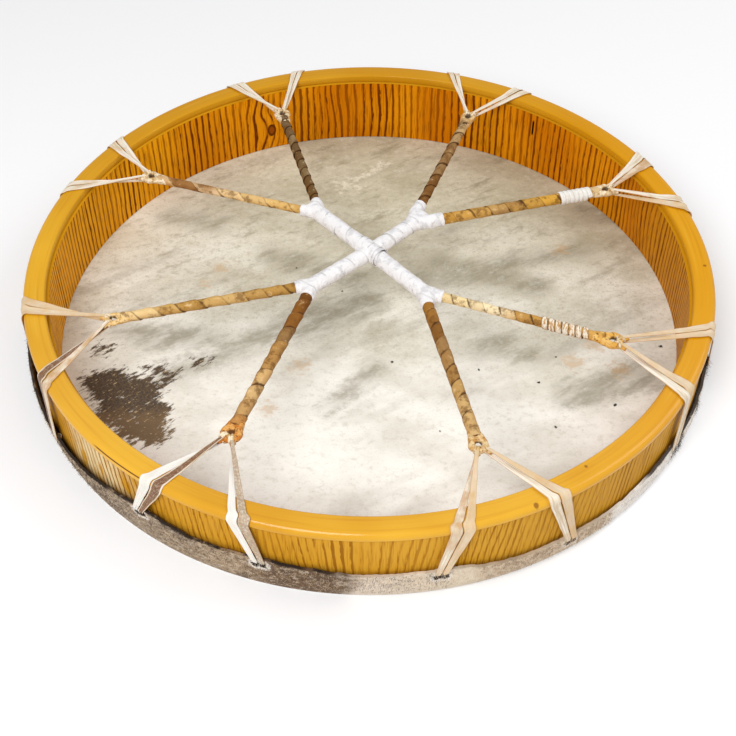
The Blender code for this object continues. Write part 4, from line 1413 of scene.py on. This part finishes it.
class DRUM_OT_knots(bpy.types.Operator):
    """Model the tied eye at the end of each spoke"""

    bl_idname = "drum.knots"
    bl_label = "Knots"

    def execute(self, context):
        hides = {kind: knot_hide(kind) for kind in KNOT_TONES}
        tips = spoke_tips()
        for index, (ring, cord, kind) in enumerate(KNOTS):
            self.tie(index, tips[index], ring, cord, hides[kind], hides["pale"])
        return {"FINISHED"}

    def tie(self, index, start, ring, cord, finish, thong_finish):
        """One knot: a ring that the spoke's end opens into, with a hitch where each thong leaves it."""
        spoke = SPOKES[index]
        eye = eye_of(spoke)
        along, beside, above = axes_of(start, eye)
        pick()
        bpy.ops.mesh.primitive_torus_add(major_radius=ring, minor_radius=cord, location=eye)
        pieces = [bpy.context.object]
        for side in (-1, 1):
            pieces.append(cone_between(eye - along * (ring + 0.0095), eye + beside * side * ring * 0.95,
                                       spoke.thickness * 0.42, cord))
        leaving = [thong_direction(lace) for lace in LACES if lace.spoke == index]
        for towards in leaving:
            tongue = eye + towards * (ring + cord + 0.004)
            pieces.append(cone_between(eye + towards * ring * 0.7, tongue, cord, 0.0014))
        # Painted shadow: a ball in the eye, darkened by the knot's finish.
        if spoke.name == FILLED_EYE:
            pieces.append(ball_at(eye - above * 0.0016, ring - cord + 0.0006))
        knot = fuse(spoke.name + "_knot", pieces, 0.00042, 3, 300)
        finish_piece(knot, finish, "rawhide_knot", spoke.name + "_eye")
        for number, towards in enumerate(leaving, start=1):
            name = "%s_hitch_%d" % (spoke.name, number)
            self.hitch(name, eye + towards * ring, towards, cord, thong_finish)

    def hitch(self, name, middle, towards, cord, finish):
        """Two turns of the thong's end round the ring."""
        ahead, beside, above = axes_of(middle, middle + towards)

        def path(t):
            angle = t * 2 * math.tau
            aside = beside * (t - 0.5) * 0.0036
            return middle + aside + (ahead * math.cos(angle) + above * math.sin(angle)) * (cord + 0.0003)

        def thickness(t, turn):
            return 0.00085 + 0.0002 * math.sin(t * 23)

        finish_piece(tube_along(name, path, thickness, around=10, samples=72), finish, "rawhide_knot")


class DRUM_OT_grip(bpy.types.Operator):
    """Model the bound cross at the middle of the web"""

    bl_idname = "drum.grip"
    bl_label = "Grip"

    def execute(self, context):
        looks = context.scene.drum_looks
        wound = white_tape("wound_tape", looks, wound=True)
        centre = GRIP_CENTRE + Vector((0, 0, WEB_HEIGHT))
        thick = BIND_RADIUS - 0.0006
        middling = BIND_RADIUS - 0.0008
        thin = BIND_RADIUS - 0.0012
        pieces = [ball_at(centre, HEART_RADIUS)]
        for arm in ARMS:
            meets = []
            ends = []
            for side, index in zip((-1, 1), arm.spokes):
                tip, root = branch_line(arm, side, SPOKES[index])
                pieces.append(cone_between(root, tip, thin, SPOKES[index].thickness / 2 + BRANCH_PROUD))
                meets.append(root)
                ends.append(tip)
            fork = (meets[0] + meets[1]) / 2
            outward = polar(1.0, math.radians(arm.angle))
            pieces.append(cone_between(centre, fork + outward * 0.006, thin, thick))
            inset = outward * arm.inset
            pieces.append(cone_between(ends[0] - inset, ends[1] - inset, 0.0044, 0.0044))
            filled = fork.lerp((ends[0] + ends[1]) / 2, arm.filled)
            pieces.append(cone_between(fork, filled, middling, BIND_RADIUS - 0.0016))
            binding = wind_strip("grip_binding_" + arm.name, centre + outward * 0.004, fork - outward * 0.001,
                                 BIND_RADIUS - 0.0009, TAPE_THICKNESS, 4, TAPE_OVERLAP,
                                 arm.spokes[0] * 1.3, uneven=0.2)
            finish_piece(binding, wound, "white_binding", "grip_wrap_" + arm.name)
        cross = fuse("grip_cross", pieces, 0.0007, 8, 260)
        finish_piece(cross, white_tape("white_binding", looks, wound=False), "white_binding", "grip_core")
        over = polar(1.0, math.radians(ARM_OVER.angle)) * 0.010
        heart = wind_strip("grip_heart_binding", centre - over, centre + over, HEART_RADIUS + 0.0001,
                           TAPE_THICKNESS, 3, TAPE_OVERLAP, 5.2, uneven=0.2)
        finish_piece(heart, wound, "white_binding")
        return {"FINISHED"}


class DRUM_OT_stage(bpy.types.Operator):
    """Set the floor, the soft light and the camera"""

    bl_idname = "drum.stage"
    bl_label = "Stage"

    def execute(self, context):
        scene = context.scene
        scene.view_settings.view_transform = "Standard"
        pick()
        bpy.ops.mesh.primitive_plane_add(size=12.0, location=(0, 0, -0.0002))
        floor = name_new("floor")
        floor.data.materials.append(self.floor_material())
        self.light_world(scene)
        self.add_lamp("key_light", (-0.45, -1.15, 1.35), 0.9, 22.0)
        self.add_lamp("side_light", (1.25, 0.35, 1.3), 1.2, 9.0)
        camera = bpy.data.objects.new("camera", bpy.data.cameras.new("camera"))
        scene.collection.objects.link(camera)
        camera.location = CAMERA_PLACE
        camera.rotation_euler = (CAMERA_TILT, 0, 0)
        camera.data.lens = CAMERA_LENS
        camera.data.sensor_width = 36.0
        camera.data.clip_start = 0.01
        scene.camera = camera
        return {"FINISHED"}

    def add_lamp(self, name, place, size, power):
        lamp = bpy.data.lights.new(name, "AREA")
        lamp.shape = "DISK"
        lamp.size = size
        lamp.energy = power
        holder = bpy.data.objects.new(name, lamp)
        bpy.context.scene.collection.objects.link(holder)
        holder.location = place
        holder.rotation_euler = (-Vector(place)).to_track_quat("-Z", "Y").to_euler()

    def light_world(self, scene):
        """White all round: half strength as a light, full strength where it is seen."""
        world = bpy.data.worlds.new("studio")
        scene.world = world
        world.use_nodes = True
        nodes = Nodes(world.node_tree)
        lighting = nodes.tree.nodes["Background"]
        lighting.inputs["Color"].default_value = (1, 1, 1, 1)
        lighting.inputs["Strength"].default_value = 0.5
        shown = nodes.node("ShaderNodeBackground", values={"Color": (1, 1, 1, 1)})
        surface = nodes.node("ShaderNodeMixShader", values={
            0: nodes.seen_directly(), 1: Socket(nodes, lighting.outputs[0]), 2: shown})
        nodes.feed(nodes.tree.nodes["World Output"].inputs["Surface"], surface)

    def floor_material(self):
        """A pale floor that shows near white, yet keeps the drum's shadow."""
        finish = Finish("pale_floor", Roughness=0.9, Specular_IOR_Level=0.1)
        finish.use(Base_Color=(0.84, 0.84, 0.85, 1.0))
        dark, glow = (finish.node("ShaderNodeEmission", values={"Strength": strength})
                      for strength in (0.0, 0.10))
        lift = finish.node("ShaderNodeMixShader", values={0: finish.seen_directly(), 1: dark, 2: glow})
        surface = finish.node("ShaderNodeAddShader", values={
            0: Socket(finish, finish.shader.outputs[0]), 1: lift})
        finish.feed(finish.tree.nodes["Material Output"].inputs["Surface"], surface)
        return finish.material


class DRUM_PT_panel(bpy.types.Panel):
    """Lists the drum's pieces, colours and sizes"""

    bl_idname = "DRUM_PT_panel"
    bl_label = "Frame Drum"
    bl_space_type = "VIEW_3D"
    bl_region_type = "UI"
    bl_category = "Frame Drum"

    def draw(self, context):
        for group in (context.scene.drum_sizes, context.scene.drum_looks):
            box = self.layout.box()
            for prop in group.bl_rna.properties:
                if prop.identifier not in ("rna_type", "name"):
                    box.prop(group, prop.identifier)
        for operator in PIECES:
            self.layout.operator(operator.bl_idname)


PIECES = (DRUM_OT_hoop, DRUM_OT_rim, DRUM_OT_hide, DRUM_OT_collar_hair, DRUM_OT_thongs, DRUM_OT_spokes,
          DRUM_OT_coils, DRUM_OT_knots, DRUM_OT_grip, DRUM_OT_stage)
CLASSES = (DrumLooks, DrumSizes) + PIECES + (DRUM_PT_panel,)


def register():
    for part in CLASSES:
        bpy.utils.register_class(part)
    bpy.types.Scene.drum_looks = PointerProperty(type=DrumLooks)
    bpy.types.Scene.drum_sizes = PointerProperty(type=DrumSizes)


def unregister():
    del bpy.types.Scene.drum_sizes
    del bpy.types.Scene.drum_looks
    for part in reversed(CLASSES):
        bpy.utils.unregister_class(part)


def main():
    register()
    for operator in PIECES:
        group, name = operator.bl_idname.split(".")
        getattr(getattr(bpy.ops, group), name)()
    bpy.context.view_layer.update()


if __name__ == "__main__":
    main()
